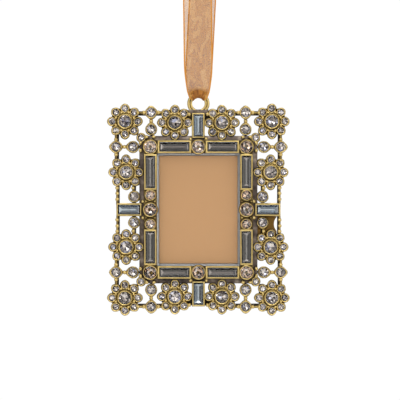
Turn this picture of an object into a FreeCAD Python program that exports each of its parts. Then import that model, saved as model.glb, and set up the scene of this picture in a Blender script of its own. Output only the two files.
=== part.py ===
import FreeCAD, Part
import Sketcher
import os

# Jewelled miniature picture frame that hangs from a ribbon loop.
# One openwork casting carries twelve stone flowers, a raised band of baguette and round
# stones about the opening, and a hanging ring. A pane, a picture card and its tray lie in a
# pocket behind the opening, and a thin cover with a thumb tab presses in from the back.
# Millimetres. The frame stands upright: X to the right, Z up, and the front faces -Y.
# The origin is the middle of the back face.

doc = FreeCAD.newDocument("FrameOrnament")

# Driving sizes, each written once
SIZES = [
    ("opening_width", 27.5, "picture opening, side to side"),
    ("opening_height", 37.3, "picture opening, top to bottom"),
    ("band_width", 4.4, "raised band of settings about the opening"),
    ("band_floor", 2.6, "height of the band between its settings"),
    ("band_rim_height", 3.7, "top of the band's rims"),
    ("ledge_width", 1.5, "plain ledge outside the band"),
    ("ledge_height", 1.5, "top of the ledge"),
    ("pocket_lip", 1.2, "how far the casting laps over the pane"),
    ("pocket_gap", 0.08, "clearance about the pane, tray and boss"),
    ("pane_thickness", 0.8, "clear pane"),
    ("pane_edge", 0.2, "ground edge of the pane"),
    ("tray_thickness", 0.9, "tray behind the picture card"),
    ("card_thickness", 0.3, "picture card"),
    ("card_gap", 0.05, "clearance about the card in its tray"),
    ("card_inset", 0.75, "bevel that shows between the opening and the card"),
    ("cover_thickness", 0.6, "back cover plate"),
    ("cover_boss", 0.35, "raised field of the cover that presses into the pocket"),
    ("cover_lap", 1.5, "how far the cover laps past the pocket"),
    ("cover_corner", 1.2, "corner radius of the cover"),
    ("tab_reach", 6.4, "thumb tab past the ledge"),
    ("tab_height", 8.4, "thumb tab, top to bottom"),
    ("tab_drop", 4.8, "middle of the thumb tab below the middle of the frame"),
    ("tab_notch_radius", 3.4, "thumb notch in the end of the tab"),
    ("tab_notch_depth", 0.9, "depth of the thumb notch"),
    ("base_height", 1.0, "thin web of the openwork"),
    ("centre_stone_radius", 2.06, "middle stone of a flower"),
    ("centre_wall", 0.52, "rim about a flower's middle stone"),
    ("centre_height", 3.2, "top of a flower's middle rim"),
    ("petal_stone_radius", 1.1, "petal stone"),
    ("petal_wall", 0.52, "rim about a petal stone"),
    ("petal_height", 2.4, "top of the petal rims"),
    ("petal_gap", 0.05, "between the petal rims and the middle rim"),
    ("round_stone_radius", 1.55, "round stones of the outer sprays"),
    ("round_wall", 0.45, "rim about a round stone of the sprays"),
    ("round_height", 2.5, "top of the spray rims"),
    ("ring_stone_radius", 2.06, "large round stones of the band"),
    ("ring_wall", 0.54, "rim about a large round stone of the band"),
    ("spacer_stone_radius", 1.55, "small round stones of the band"),
    ("spacer_wall", 0.38, "rim about a small round stone of the band"),
    ("spacer_gap", 0.3, "between the large and the small round rim"),
    ("stone_crown", 0.3, "crown of a round stone, as a share of its radius"),
    ("stone_table", 0.5, "square top of a round stone, as a share of its width"),
    ("stone_point", 0.85, "depth of a round stone, as a share of its radius"),
    ("baguette_width", 3.2, "long and short baguette stones"),
    ("baguette_step", 0.64, "slope of a baguette's crown"),
    ("baguette_depth", 1.34, "keel of a baguette below its rim"),
    ("baguette_keel", 0.42, "inset of a baguette's keel, as a share of its width"),
    ("baguette_end_wall", 0.4, "rim at the end of a long baguette"),
    ("setting_lap", 0.35, "how far a long setting runs into the round rims at its ends"),
    ("short_length", 7.35, "short baguette at the middle of each side"),
    ("short_wall", 0.6, "rim about a short baguette"),
    ("short_height", 2.8, "top of a short baguette's rim"),
    ("short_gap", 0.62, "between the band and a short baguette's rim"),
    ("spray_shift", 0.25, "top sprays stand inward of the band's corners"),
    ("spray_gap", 0.12, "between the ledge and a drop's rim"),
    ("spray_neck", 1.6, "neck between a drop and its outer round"),
    ("tip_root", 0.8, "half width of a drop's tip at its root, as a share of the rim"),
    ("tip_width", 0.65, "width of a drop's tip at its end"),
    ("tip_height", 2.1, "top of the drops' tips"),
    ("side_gap", 0.1, "between the side rounds and the short baguette"),
    ("side_neck", 0.25, "between a side round and the side flower"),
    ("side_inset", 2.65, "side rounds stand inward of the side flowers"),
    ("corner_out", 0.4, "corner flowers stand outward of the others"),
    ("row_lap", 0.25, "row flowers lap over the short baguette's rim"),
    ("diagonal_gap", 0.15, "between the corner flower and the diagonal stone"),
    ("bar_width", 1.3, "bars that join the settings"),
    ("edge_bar_inset", 0.45, "edge chains inward of the short baguette's end"),
    ("ring_hole_radius", 2.07, "hole of the hanging ring"),
    ("ring_outer_radius", 3.73, "outside of the hanging ring"),
    ("ring_thickness", 1.6, "hanging ring, front to back"),
    ("ring_groove", 0.35, "groove between the ring's two ridges"),
    ("ring_back", 0.4, "back of the ring forward of the casting's back"),
    ("ring_sink", 1.75, "how far the ring sinks into its foot"),
    ("plinth_half_width", 3.3, "foot of the hanging ring"),
    ("plinth_height", 1.1, "foot of the hanging ring, bottom to top"),
    ("ribbon_width", 10.0, "ribbon, edge to edge"),
    ("ribbon_thickness", 0.45, "gathered ribbon"),
    ("ribbon_waist", 2.3, "ribbon gathered inside the ring"),
    ("ribbon_spread", 8.0, "strands apart at the top of the loop, outside to outside"),
    ("ribbon_length", 56.0, "loop, from the ring to its top"),
    ("ribbon_gap", 0.3, "clearance between the ribbon and the ring"),
    ("ribbon_foot", 6.4, "ribbon's width where it meets the ring"),
    ("gather_length", 11.0, "where the ribbon narrows above the ring"),
]

sheet = doc.addObject("Spreadsheet::Sheet", "Sizes")
for row, (alias, value, note) in enumerate(SIZES, start=1):
    sheet.set("A%d" % row, alias)
    sheet.set("B%d" % row, str(value))
    sheet.setAlias("B%d" % row, alias)
    sheet.set("C%d" % row, note)

# Places worked out from the driving sizes
LAYOUT = [
    ("centre_rim", "Sizes.centre_stone_radius + Sizes.centre_wall"),
    ("petal_rim", "Sizes.petal_stone_radius + Sizes.petal_wall"),
    ("round_rim", "Sizes.round_stone_radius + Sizes.round_wall"),
    ("ring_rim", "Sizes.ring_stone_radius + Sizes.ring_wall"),
    ("spacer_rim", "Sizes.spacer_stone_radius + Sizes.spacer_wall"),
    ("petal_ring", "centre_rim + petal_rim + Sizes.petal_gap"),
    ("petal_slant", "petal_ring * cos(45)"),
    ("flower_radius", "petal_ring + petal_rim"),
    ("half_opening_x", "Sizes.opening_width / 2"),
    ("half_opening_z", "Sizes.opening_height / 2"),
    ("ring_x", "half_opening_x + Sizes.band_width / 2"),
    ("ring_z", "half_opening_z + Sizes.band_width / 2"),
    ("band_x", "half_opening_x + Sizes.band_width"),
    ("band_z", "half_opening_z + Sizes.band_width"),
    ("ledge_x", "band_x + Sizes.ledge_width"),
    ("ledge_z", "band_z + Sizes.ledge_width"),
    ("spacer_z", "ring_rim + Sizes.spacer_gap + spacer_rim"),
    ("pocket_x", "half_opening_x + Sizes.pocket_lip"),
    ("pocket_z", "half_opening_z + Sizes.pocket_lip"),
    ("pocket_depth", "Sizes.pane_thickness + Sizes.tray_thickness + Sizes.cover_boss"),
    ("short_end", "Sizes.short_length / 2 + Sizes.short_wall"),
    ("short_side", "Sizes.baguette_width / 2 + Sizes.short_wall"),
    ("short_z", "band_z + Sizes.short_gap + short_end"),
    ("short_x", "band_x + Sizes.short_gap + short_end"),
    ("side_flower_x", "band_x + flower_radius"),
    ("row_flower_z", "band_z + flower_radius"),
    ("row_flower_x", "short_side + flower_radius - Sizes.row_lap"),
    ("corner_x", "side_flower_x + Sizes.corner_out"),
    ("corner_z", "row_flower_z + Sizes.corner_out"),
    ("side_round_x", "side_flower_x - Sizes.side_inset"),
    ("side_round_z", "short_side + Sizes.side_gap + round_rim"),
    ("side_flower_z", "side_round_z + round_rim + Sizes.side_neck + flower_radius"),
    ("spray_x", "ring_x - Sizes.spray_shift"),
    ("drop_z", "ledge_z + Sizes.spray_gap + round_rim"),
    ("drop_x", "ledge_x + Sizes.spray_gap + round_rim"),
    ("outer_z", "drop_z + 2 * round_rim + Sizes.spray_neck"),
    ("outer_x", "drop_x + 2 * round_rim + Sizes.spray_neck"),
    ("diagonal_out", "(flower_radius + Sizes.diagonal_gap + petal_rim) * cos(45)"),
    ("diagonal_x", "corner_x - diagonal_out"),
    ("diagonal_z", "corner_z - diagonal_out"),
    ("tall_length", "ring_z - ring_rim - spacer_z - spacer_rim - 2 * Sizes.baguette_end_wall"),
    ("tall_z", "(ring_z - ring_rim + spacer_z + spacer_rim) / 2"),
    ("wide_length", "ring_x - 2 * ring_rim - 2 * Sizes.baguette_end_wall"),
    ("wide_x", "ring_x / 2"),
    ("edge_bar_x", "short_x + short_end - Sizes.edge_bar_inset"),
    ("plinth_z", "short_z + short_end + Sizes.plinth_height"),
    ("ring_middle_z", "plinth_z + Sizes.ring_outer_radius - Sizes.ring_sink"),
    ("ring_middle_y", "-(Sizes.cover_thickness + Sizes.ring_back + Sizes.ring_thickness / 2)"),
    ("turn_inner", "Sizes.ring_thickness / 2 + Sizes.ribbon_gap"),
    ("turn_rise", "sqrt(Sizes.ring_hole_radius ^ 2 - (Sizes.ribbon_waist / 2) ^ 2)"),
    ("turn_drop", "sqrt(turn_inner ^ 2 - (Sizes.ring_thickness / 2) ^ 2)"),
    ("turn_z", "ring_middle_z + turn_rise + turn_drop - Sizes.ribbon_gap / 2"),
]
layout = doc.addObject("Spreadsheet::Sheet", "Layout")
for row, (alias, formula) in enumerate(LAYOUT, start=1):
    layout.set("A%d" % row, alias)
    layout.set("B%d" % row, "=" + formula)
    layout.setAlias("B%d" % row, alias)
doc.recompute()

FACING = FreeCAD.Rotation(FreeCAD.Vector(1, 0, 0), 90)
PETALS = 8
ROUND_SIDES = 8
COVER = "Sizes.cover_thickness"

# A cutter runs past the faces that it cuts through by PAST, and is wider than the piece that it
# trims by the share WIDER
PAST = "1"
WIDER = "1.5"


# Helpers that make bound objects

def bind(item, **formulas):
    """Bind properties to formulas; a double underscore stands for a dot."""
    for path, formula in formulas.items():
        item.setExpression(path.replace("__", "."), formula)
    return item


def place(item, x, z, height="0"):
    """Face an item to the front at (x, z), its base at a height above the casting's back."""
    item.Placement = FreeCAD.Placement(FreeCAD.Vector(0, 0, 0), FACING)
    return bind(item, Placement__Base__x=x, Placement__Base__z=z,
                Placement__Base__y="-(%s + %s)" % (COVER, height))


def copy_at(item, name, x, z):
    """A placed copy of an item that was built about the flower's own middle."""
    copy = doc.addObject("Part::Compound", name)
    copy.Links = [item] if not isinstance(item, list) else item
    return bind(copy, Placement__Base__x=x, Placement__Base__z=z)


def collet(name, x, z, rim, top, base="0"):
    """A many-sided cup that holds one round stone, between two heights."""
    cup = doc.addObject("Part::Prism", name)
    cup.Polygon = ROUND_SIDES
    bind(cup, Circumradius=rim, Height="%s - %s" % (top, base))
    return place(cup, x, z, base)


def block(name, x_low, x_high, z_low, z_high, low, high):
    """A block between two corners of the front view and two heights."""
    box = doc.addObject("Part::Box", name)
    bind(box, Length="(%s) - (%s)" % (x_high, x_low), Width="(%s) - (%s)" % (z_high, z_low),
         Height="(%s) - (%s)" % (high, low))
    return place(box, x_low, z_low, low)


def taper(name, x, z, half_start, half_end, reach, height, turn):
    """A neck that narrows away from (x, z); turn points it, in degrees from +Z."""
    neck = doc.addObject("Part::Wedge", name)
    bind(neck, Xmin="-(%s)" % half_start, Xmax=half_start, X2min="-(%s)" % half_end, X2max=half_end,
         Ymax=reach, Zmax=height, Z2max=height)
    neck.Ymin = 0
    neck.Zmin = 0
    neck.Z2min = 0
    place(neck, x, z)
    neck.Placement.Rotation = FreeCAD.Rotation(FreeCAD.Vector(0, 1, 0), turn).multiply(FACING)
    return neck


def pyramid(name, sides, radius, tip, turn=0):
    """A pyramid on a many-sided girdle, its tip above or below."""
    girdle = doc.addObject("Part::RegularPolygon", name + "Girdle")
    girdle.Polygon = sides
    girdle.Placement.Rotation = FreeCAD.Rotation(FreeCAD.Vector(0, 0, 1), turn)
    bind(girdle, Circumradius=radius)
    point = doc.addObject("Part::Vertex", name + "Tip")
    bind(point, Z=tip)
    solid = doc.addObject("Part::Loft", name)
    solid.Sections = [girdle, point]
    solid.Solid = True
    solid.Ruled = True
    return solid


def round_stone(name, radius):
    """A round stone about its own middle: eight facets below the girdle, and a crown of four
    broad and four narrow facets about a square table."""
    crown_height = "(%s) * Sizes.stone_crown" % radius
    corner = "(%s) * cos(22.5) / cos(45)" % radius
    broad = pyramid(name + "Broad", 4, corner, crown_height + " / (1 - Sizes.stone_table)", -22.5)
    narrow = pyramid(name + "Narrow", 4, corner,
                     crown_height + " / (1 - Sizes.stone_table / cos(45))", 22.5)
    table = doc.addObject("Part::Prism", name + "Table")
    table.Polygon = ROUND_SIDES
    bind(table, Circumradius="(%s) * %s" % (radius, WIDER), Height=crown_height)
    facets = doc.addObject("Part::Common", name + "Facets")
    facets.Base = broad
    facets.Tool = narrow
    crown = doc.addObject("Part::Common", name + "Crown")
    crown.Base = facets
    crown.Tool = table
    gem = doc.addObject("Part::Fuse", name)
    gem.Base = crown
    gem.Tool = pyramid(name + "Under", ROUND_SIDES, radius, "-(%s) * Sizes.stone_point" % radius)
    gem.Refine = True
    return gem


def stone(name, pattern, x, z, height):
    """A copy of a round stone whose girdle lies level with the top of its cup."""
    gem = doc.addObject("Part::Compound", name)
    gem.Links = [pattern]
    return place(gem, x, z, height)


def baguette(name, x, z, half_x, half_z, height):
    """A step-cut oblong stone: a crown and a keel, each a tapered block."""
    crown = doc.addObject("Part::Wedge", name + "_crown")
    under = doc.addObject("Part::Wedge", name + "_keel")
    keel_inset = "Sizes.baguette_width * Sizes.baguette_keel"
    for wedge, inset, rise in ((crown, "Sizes.baguette_step", "Sizes.baguette_step"),
                               (under, keel_inset, "Sizes.baguette_depth")):
        wedge.Ymin = 0
        bind(wedge, Xmin="-(%s)" % half_x, Xmax=half_x, Zmin="-(%s)" % half_z, Zmax=half_z,
             X2min="-(%s) + %s" % (half_x, inset), X2max="(%s) - %s" % (half_x, inset),
             Z2min="-(%s) + %s" % (half_z, inset), Z2max="(%s) - %s" % (half_z, inset),
             Ymax=rise)
    crown.Placement.Rotation = FreeCAD.Rotation(FreeCAD.Vector(0, 0, 1), 180)
    gem = doc.addObject("Part::Fuse", name)
    gem.Base = crown
    gem.Tool = under
    gem.Refine = True
    bind(gem, Placement__Base__x=x, Placement__Base__z=z,
         Placement__Base__y="-(%s + %s)" % (COVER, height))
    return gem


# The casting's flowers: one is built about its own middle, then set in twelve places

flower_disc = collet("FlowerDisc", "0", "0", "Layout.petal_ring + Sizes.petal_wall",
                     "Sizes.base_height")
flower_disc.Placement.Rotation = FACING.multiply(FreeCAD.Rotation(FreeCAD.Vector(0, 0, 1),
                                                                  180 / PETALS))
flower_cups = [collet("FlowerMiddle", "0", "0", "Layout.centre_rim", "Sizes.centre_height",
                      "Sizes.base_height")]
for petal in range(PETALS):
    turn = 360 * petal / PETALS
    flower_cups.append(collet("Petal%d" % petal, "Layout.petal_ring * cos(%g)" % turn,
                              "Layout.petal_ring * sin(%g)" % turn, "Layout.petal_rim",
                              "Sizes.petal_height", "Sizes.base_height"))
flower_body = doc.addObject("Part::MultiFuse", "FlowerBody")
flower_body.Shapes = [flower_disc] + flower_cups
flower_body.Refine = True

FLOWERS = []
for side, side_x in (("left", -1), ("right", 1)):
    for level, level_z in (("top", 1), ("bottom", -1)):
        FLOWERS.append(("corner_%s_%s" % (level, side), "%d * Layout.corner_x" % side_x,
                        "%d * Layout.corner_z" % level_z))
        FLOWERS.append(("%s_row_%s" % (level, side), "%d * Layout.row_flower_x" % side_x,
                        "%d * Layout.row_flower_z" % level_z))
        FLOWERS.append(("%s_side_%s" % (side, level), "%d * Layout.side_flower_x" % side_x,
                        "%d * Layout.side_flower_z" % level_z))

casting_parts = [copy_at(flower_body, "Flower_" + name, x, z) for name, x, z in FLOWERS]

# Stones of the flowers

centre_pattern = round_stone("CentreStone", "Sizes.centre_stone_radius")
petal_pattern = round_stone("PetalStone", "Sizes.petal_stone_radius")
petal_gems = []
for petal in range(PETALS):
    turn = 360 * petal / PETALS
    petal_gems.append(stone("PetalGem%d" % petal, petal_pattern,
                            "Layout.petal_ring * cos(%g)" % turn,
                            "Layout.petal_ring * sin(%g)" % turn, "Sizes.petal_height"))

nodes = []
gems = []


def keep_gem(item, label):
    """Name a finished stone, or set of stones, and note it as a cutter of its own seat."""
    item.Label = label
    gems.append(item)
    nodes.append(item)


for name, x, z in FLOWERS:
    middle = stone("Middle_" + name, centre_pattern, x, z, "Sizes.centre_height")
    keep_gem(middle, "centre_stone_" + name)
    keep_gem(copy_at(petal_gems, "Gems_" + name, x, z), "petal_stones_" + name)

# The picture surround: ledge, band and opening

half_x, half_z = "Layout.half_opening_x", "Layout.half_opening_z"
ledge = block("Ledge", "-Layout.ledge_x", "Layout.ledge_x", "-Layout.ledge_z", "Layout.ledge_z",
              "0", "Sizes.ledge_height")
band = block("Band", "-Layout.band_x", "Layout.band_x", "-Layout.band_z", "Layout.band_z",
             "0", "Sizes.band_floor")
surround_solid = doc.addObject("Part::MultiFuse", "SurroundSolid")
surround_solid.Shapes = [ledge, band]
opening = block("Opening", "-" + half_x, half_x, "-" + half_z, half_z, "-" + PAST,
                "Sizes.band_floor + " + PAST)
surround = doc.addObject("Part::Cut", "Surround")
surround.Base = surround_solid
surround.Tool = opening
casting_parts.append(surround)

# Round settings of the band

ring_pattern = round_stone("RingStone", "Sizes.ring_stone_radius")
spacer_pattern = round_stone("SpacerStone", "Sizes.spacer_stone_radius")
rim_top = "Sizes.band_rim_height"
for level, level_z in (("top", 1), ("middle", 0), ("bottom", -1)):
    for side, side_x in (("left", -1), ("centre", 0), ("right", 1)):
        if level_z == 0 and side_x == 0:
            continue
        x, z = "%d * Layout.ring_x" % side_x, "%d * Layout.ring_z" % level_z
        casting_parts.append(collet("RingCup_%s_%s" % (level, side), x, z, "Layout.ring_rim",
                                    rim_top))
        keep_gem(stone("RingGem_%s_%s" % (level, side), ring_pattern, x, z, rim_top),
                 "band_stone_%s_%s" % (level, side))
for side, side_x in (("left", -1), ("right", 1)):
    pair = []
    for level_z in (1, -1):
        x, z = "%d * Layout.ring_x" % side_x, "%d * Layout.spacer_z" % level_z
        tag = "%s_%s" % (side, "top" if level_z > 0 else "bottom")
        casting_parts.append(collet("SpacerCup_" + tag, x, z, "Layout.spacer_rim", rim_top))
        pair.append(stone("SpacerGem_" + tag, spacer_pattern, x, z, rim_top))
    keep_gem(copy_at(pair, "SpacerGems_" + side, "0", "0"), "spacer_stones_" + side)

# Long baguettes of the band, between the round settings

stone_half = "Sizes.baguette_width / 2"
half_band = "Sizes.band_width / 2"
for side, side_x in (("left", -1), ("right", 1)):
    for level, level_z in (("top", 1), ("bottom", -1)):
        ring_x, ring_z = "%d * Layout.ring_x" % side_x, "%d * Layout.ring_z" % level_z
        tall_z, wide_x = "%d * Layout.tall_z" % level_z, "%d * Layout.wide_x" % side_x
        tall_half, wide_half = "Layout.tall_length / 2", "Layout.wide_length / 2"
        wall = "(Sizes.baguette_end_wall + Sizes.setting_lap)"
        tag = "%s_%s" % (side, level)
        casting_parts.append(block(
            "TallSetting_" + tag, "%s - %s" % (ring_x, half_band), "%s + %s" % (ring_x, half_band),
            "%s - %s - %s" % (tall_z, tall_half, wall), "%s + %s + %s" % (tall_z, tall_half, wall),
            "Sizes.ledge_height", rim_top))
        casting_parts.append(block(
            "WideSetting_" + tag, "%s - %s - %s" % (wide_x, wide_half, wall),
            "%s + %s + %s" % (wide_x, wide_half, wall), "%s - %s" % (ring_z, half_band),
            "%s + %s" % (ring_z, half_band), "Sizes.ledge_height", rim_top))
        keep_gem(baguette("Tall_" + tag, ring_x, tall_z, stone_half, tall_half, rim_top),
                 "long_baguette_%s_%s" % (side, level))
        keep_gem(baguette("Wide_" + tag, wide_x, ring_z, wide_half, stone_half, rim_top),
                 "long_baguette_%s_%s" % (level, side))

# Short baguettes at the middle of each side

SHORTS = [("top", "0", "Layout.short_z", True), ("bottom", "0", "-Layout.short_z", True),
          ("left", "-Layout.short_x", "0", False), ("right", "Layout.short_x", "0", False)]
for name, x, z, upright in SHORTS:
    long_half, cross_half = "Layout.short_end", "Layout.short_side"
    reach_x, reach_z = (cross_half, long_half) if upright else (long_half, cross_half)
    casting_parts.append(block(
        "ShortSetting_" + name, "%s - %s" % (x, reach_x), "%s + %s" % (x, reach_x),
        "%s - %s" % (z, reach_z), "%s + %s" % (z, reach_z), "0", "Sizes.short_height"))
    gem_x = stone_half if upright else "Sizes.short_length / 2"
    gem_z = "Sizes.short_length / 2" if upright else stone_half
    keep_gem(baguette("Short_" + name, x, z, gem_x, gem_z, "Sizes.short_height"),
             "short_baguette_" + name)

# Sprays of each corner: outer rounds, drops and the diagonal stone, with the bars and necks
# that join them to the flowers and the ledge

round_pattern = round_stone("RoundStone", "Sizes.round_stone_radius")
round_top = "Sizes.round_height"
half_bar = "Sizes.bar_width / 2"


def bar(name, x_ends, z_ends):
    """A bar of the web along X or Z, between two ends given as (from, to) or one middle line."""
    if len(x_ends) == 1:
        x_low, x_high = "%s - %s" % (x_ends[0], half_bar), "%s + %s" % (x_ends[0], half_bar)
        z_low, z_high = z_ends
    else:
        x_low, x_high = x_ends
        z_low, z_high = "%s - %s" % (z_ends[0], half_bar), "%s + %s" % (z_ends[0], half_bar)
    return block(name, x_low, x_high, z_low, z_high, "0", "Sizes.base_height")


def in_order(sign, near, far):
    """The two ends of a span, lower first, on the side that the sign gives."""
    ends = ["%d * (%s)" % (sign, near), "%d * (%s)" % (sign, far)]
    return ends if sign > 0 else ends[::-1]


for side, side_x in (("left", -1), ("right", 1)):
    for level, level_z in (("top", 1), ("bottom", -1)):
        tag = "%s_%s" % (level, side)
        spray_x = "%d * Layout.spray_x" % side_x
        spray_z = "%d * Layout.ring_z" % level_z
        outer_x, outer_z = "%d * Layout.outer_x" % side_x, "%d * Layout.outer_z" % level_z
        places = [(spray_x, outer_z), (outer_x, spray_z),
                  (spray_x, "%d * Layout.drop_z" % level_z), ("%d * Layout.drop_x" % side_x, spray_z)]
        spray = []
        for index, (x, z) in enumerate(places):
            name = "Spray%d_%s" % (index, tag)
            casting_parts.append(collet(name, x, z, "Layout.round_rim", round_top))
            spray.append(stone(name + "_gem", round_pattern, x, z, round_top))
        diagonal = ("%d * Layout.diagonal_x" % side_x, "%d * Layout.diagonal_z" % level_z)
        casting_parts.append(collet("Diagonal_" + tag, diagonal[0], diagonal[1],
                                    "Layout.petal_rim", "Sizes.petal_height"))
        spray.append(stone("Diagonal_gem_" + tag, petal_pattern, diagonal[0], diagonal[1],
                           "Sizes.petal_height"))
        keep_gem(copy_at(spray, "SprayGems_" + tag, "0", "0"), "spray_stones_" + tag)

        # the drops narrow to a neck that runs to their outer rounds
        reach = "2 * Layout.round_rim + Sizes.spray_neck"
        upright_turn = 0 if level_z > 0 else 180
        across_turn = 90 * side_x
        for x, z, turn, name in ((places[2][0], places[2][1], upright_turn, "TopTip_"),
                                 (places[3][0], places[3][1], across_turn, "SideTip_")):
            casting_parts.append(taper(name + tag, x, z, "Layout.round_rim * Sizes.tip_root",
                                       "Sizes.tip_width / 2", reach, "Sizes.tip_height", turn))
        # bars of the web
        row_x = in_order(side_x, "Layout.row_flower_x + Layout.petal_slant",
                         "Layout.corner_x - Layout.petal_slant")
        column_z = in_order(level_z, "Layout.side_flower_z + Layout.petal_slant",
                            "Layout.corner_z - Layout.petal_slant")
        neck_z = in_order(level_z, "Layout.band_z", "Layout.drop_z")
        neck_x = in_order(side_x, "Layout.band_x", "Layout.drop_x")
        edge_z = in_order(level_z, "0", "Layout.side_flower_z - Layout.petal_slant")
        casting_parts.append(bar("RowBar_" + tag, row_x, [outer_z]))
        casting_parts.append(bar("ColumnBar_" + tag, [outer_x], column_z))
        casting_parts.append(bar("TopNeck_" + tag, [spray_x], neck_z))
        casting_parts.append(bar("SideNeck_" + tag, neck_x, [spray_z]))
        casting_parts.append(bar("EdgeBar_" + tag, ["%d * Layout.edge_bar_x" % side_x], edge_z))
        side_round_x = "%d * Layout.side_round_x" % side_x
        casting_parts.append(bar("SideBar_" + tag, [side_round_x], edge_z))

# Side rounds beside the short baguettes

for side, side_x in (("left", -1), ("right", 1)):
    pair = []
    for level_z in (1, -1):
        x, z = "%d * Layout.side_round_x" % side_x, "%d * Layout.side_round_z" % level_z
        tag = "%s_%s" % (side, "top" if level_z > 0 else "bottom")
        casting_parts.append(collet("SideCup_" + tag, x, z, "Layout.round_rim", round_top))
        pair.append(stone("SideGem_" + tag, round_pattern, x, z, round_top))
    keep_gem(copy_at(pair, "SideGems_" + side, "0", "0"), "side_stones_" + side)


# Hanging ring on its foot: a turned section with two ridges and a groove between them

casting_parts.append(block("RingFoot", "-Sizes.plinth_half_width", "Sizes.plinth_half_width",
                           "Layout.short_z + Layout.short_end - Sizes.short_wall",
                           "Layout.plinth_z", "0", "Sizes.ring_back + Sizes.ring_thickness"))

# Corners of the section, from the hole outward: how far across the ring each lies, as a share of
# its width, and how high
CREST = "Sizes.ring_thickness"
RING_SECTION = [
    (0, "0"),
    (0.2, CREST),
    (0.4, CREST + " - Sizes.ring_groove"),
    (0.68, CREST),
    (1, CREST + " * 0.6"),
    (1, "0"),
]


def plane_of(body, role):
    """The body's own origin plane with the given role."""
    return [item for item in body.Origin.OriginFeatures if item.Role == role][0]


ring_body = doc.addObject("PartDesign::Body", "HangingRing")
ring_sketch = ring_body.newObject("Sketcher::SketchObject", "RingSection")
ring_sketch.AttachmentSupport = [(plane_of(ring_body, "XZ_Plane"), "")]
ring_sketch.MapMode = "FlatFace"
corners = len(RING_SECTION)

# the loop is drawn roughly, corner after corner, and its bound distances then move it into place
ROUGH_RADIUS = 2
ROUGH_RISE = 0.2
start_points = [FreeCAD.Vector(ROUGH_RADIUS + index % 3, ROUGH_RISE * (index + 1), 0)
                for index in range(corners)]
for index in range(corners):
    ring_sketch.addGeometry(Part.LineSegment(start_points[index],
                                             start_points[(index + 1) % corners]), False)
for index in range(corners):
    ring_sketch.addConstraint(Sketcher.Constraint("Coincident", index, 2, (index + 1) % corners, 1))
for index, (share, rise) in enumerate(RING_SECTION):
    spot = ring_sketch.addConstraint(Sketcher.Constraint("DistanceX", -1, 1, index, 1,
                                                         start_points[index].x))
    ring_sketch.setExpression("Constraints[%d]" % spot,
                              "(1 - %s) * Sizes.ring_hole_radius + %s * Sizes.ring_outer_radius"
                              % (share, share))
    spot = ring_sketch.addConstraint(Sketcher.Constraint("DistanceY", -1, 1, index, 1,
                                                         start_points[index].y))
    ring_sketch.setExpression("Constraints[%d]" % spot, rise)
doc.recompute()
ring_turn = ring_body.newObject("PartDesign::Revolution", "RingTurn")
ring_turn.Profile = ring_sketch
ring_turn.ReferenceAxis = (ring_sketch, ["V_Axis"])
ring_turn.Angle = 360
place(ring_body, "0", "Layout.ring_middle_z", "Sizes.ring_back")
casting_parts.append(ring_body)

# The casting: everything above in one piece, less the pocket and the seats

casting_solid = doc.addObject("Part::MultiFuse", "CastingSolid")
casting_solid.Shapes = casting_parts
casting_solid.Refine = True
pocket = block("Pocket", "-Layout.pocket_x", "Layout.pocket_x", "-Layout.pocket_z",
               "Layout.pocket_z", "-" + PAST, "Layout.pocket_depth")
seats = doc.addObject("Part::Compound", "Seats")
seats.Links = gems + [pocket]
casting = doc.addObject("Part::Cut", "Casting")
casting.Base = casting_solid
casting.Tool = seats
casting.Refine = True
casting.Label = "frame_casting"
nodes.append(casting)


# Flat pieces of the pocket and the back

def flat_body(name, label, height):
    """A body whose own Z points to the front, its base at a height above the casting's back."""
    body = doc.addObject("PartDesign::Body", name)
    body.Label = label
    place(body, "0", "0", height)
    nodes.append(body)
    return body


def slab(body, kind, name, half_x, half_z, low, high):
    """A centred block of a body, added or taken away."""
    box = body.newObject(kind, name)
    return bind(box, Length="2 * (%s)" % half_x, Width="2 * (%s)" % half_z,
                Height="(%s) - (%s)" % (high, low), Placement__Base__x="-(%s)" % half_x,
                Placement__Base__y="-(%s)" % half_z, Placement__Base__z=low)


def edges_where(shape, test):
    """Names of the straight edges of a shape whose two ends pass the test."""
    names = []
    for index, edge in enumerate(shape.Edges, start=1):
        if len(edge.Vertexes) == 2 and test(edge.Vertexes[0].Point, edge.Vertexes[1].Point):
            names.append("Edge%d" % index)
    return names


seat_x = "Layout.pocket_x - Sizes.pocket_gap"
seat_z = "Layout.pocket_z - Sizes.pocket_gap"

pane = flat_body("Pane", "picture_pane", "Sizes.cover_boss + Sizes.tray_thickness")
pane_slab = slab(pane, "PartDesign::AdditiveBox", "PaneSlab", seat_x, seat_z, "0",
                 "Sizes.pane_thickness")
doc.recompute()
front = pane_slab.Shape.BoundBox.ZMax
pane_bevel = pane.newObject("PartDesign::Chamfer", "PaneBevel")
pane_bevel.Base = (pane_slab, edges_where(pane_slab.Shape,
                                          lambda a, b: abs(a.z - front) < 1e-6 and
                                          abs(b.z - front) < 1e-6))
bind(pane_bevel, Size="Sizes.pane_edge")
pane.Tip = pane_bevel

tray = flat_body("Tray", "backing_tray", "Sizes.cover_boss")
slab(tray, "PartDesign::AdditiveBox", "TraySlab", seat_x, seat_z, "0", "Sizes.tray_thickness")
card_x = half_x + " - Sizes.card_inset"
card_z = half_z + " - Sizes.card_inset"
recess = "Sizes.card_thickness + Sizes.card_gap"
tray_recess = tray.newObject("PartDesign::SubtractiveWedge", "TrayRecess")
tray_recess.Ymin = 0
tray_recess.Placement = FreeCAD.Placement(FreeCAD.Vector(0, 0, 0), FACING)
bind(tray_recess, Ymax=recess,
     Xmin="-(%s) - Sizes.card_gap" % card_x, Xmax="%s + Sizes.card_gap" % card_x,
     Zmin="-(%s) - Sizes.card_gap" % card_z, Zmax="%s + Sizes.card_gap" % card_z,
     X2min="-" + half_x, X2max=half_x, Z2min="-" + half_z, Z2max=half_z,
     Placement__Base__z="Sizes.tray_thickness - (%s)" % recess)

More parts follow.
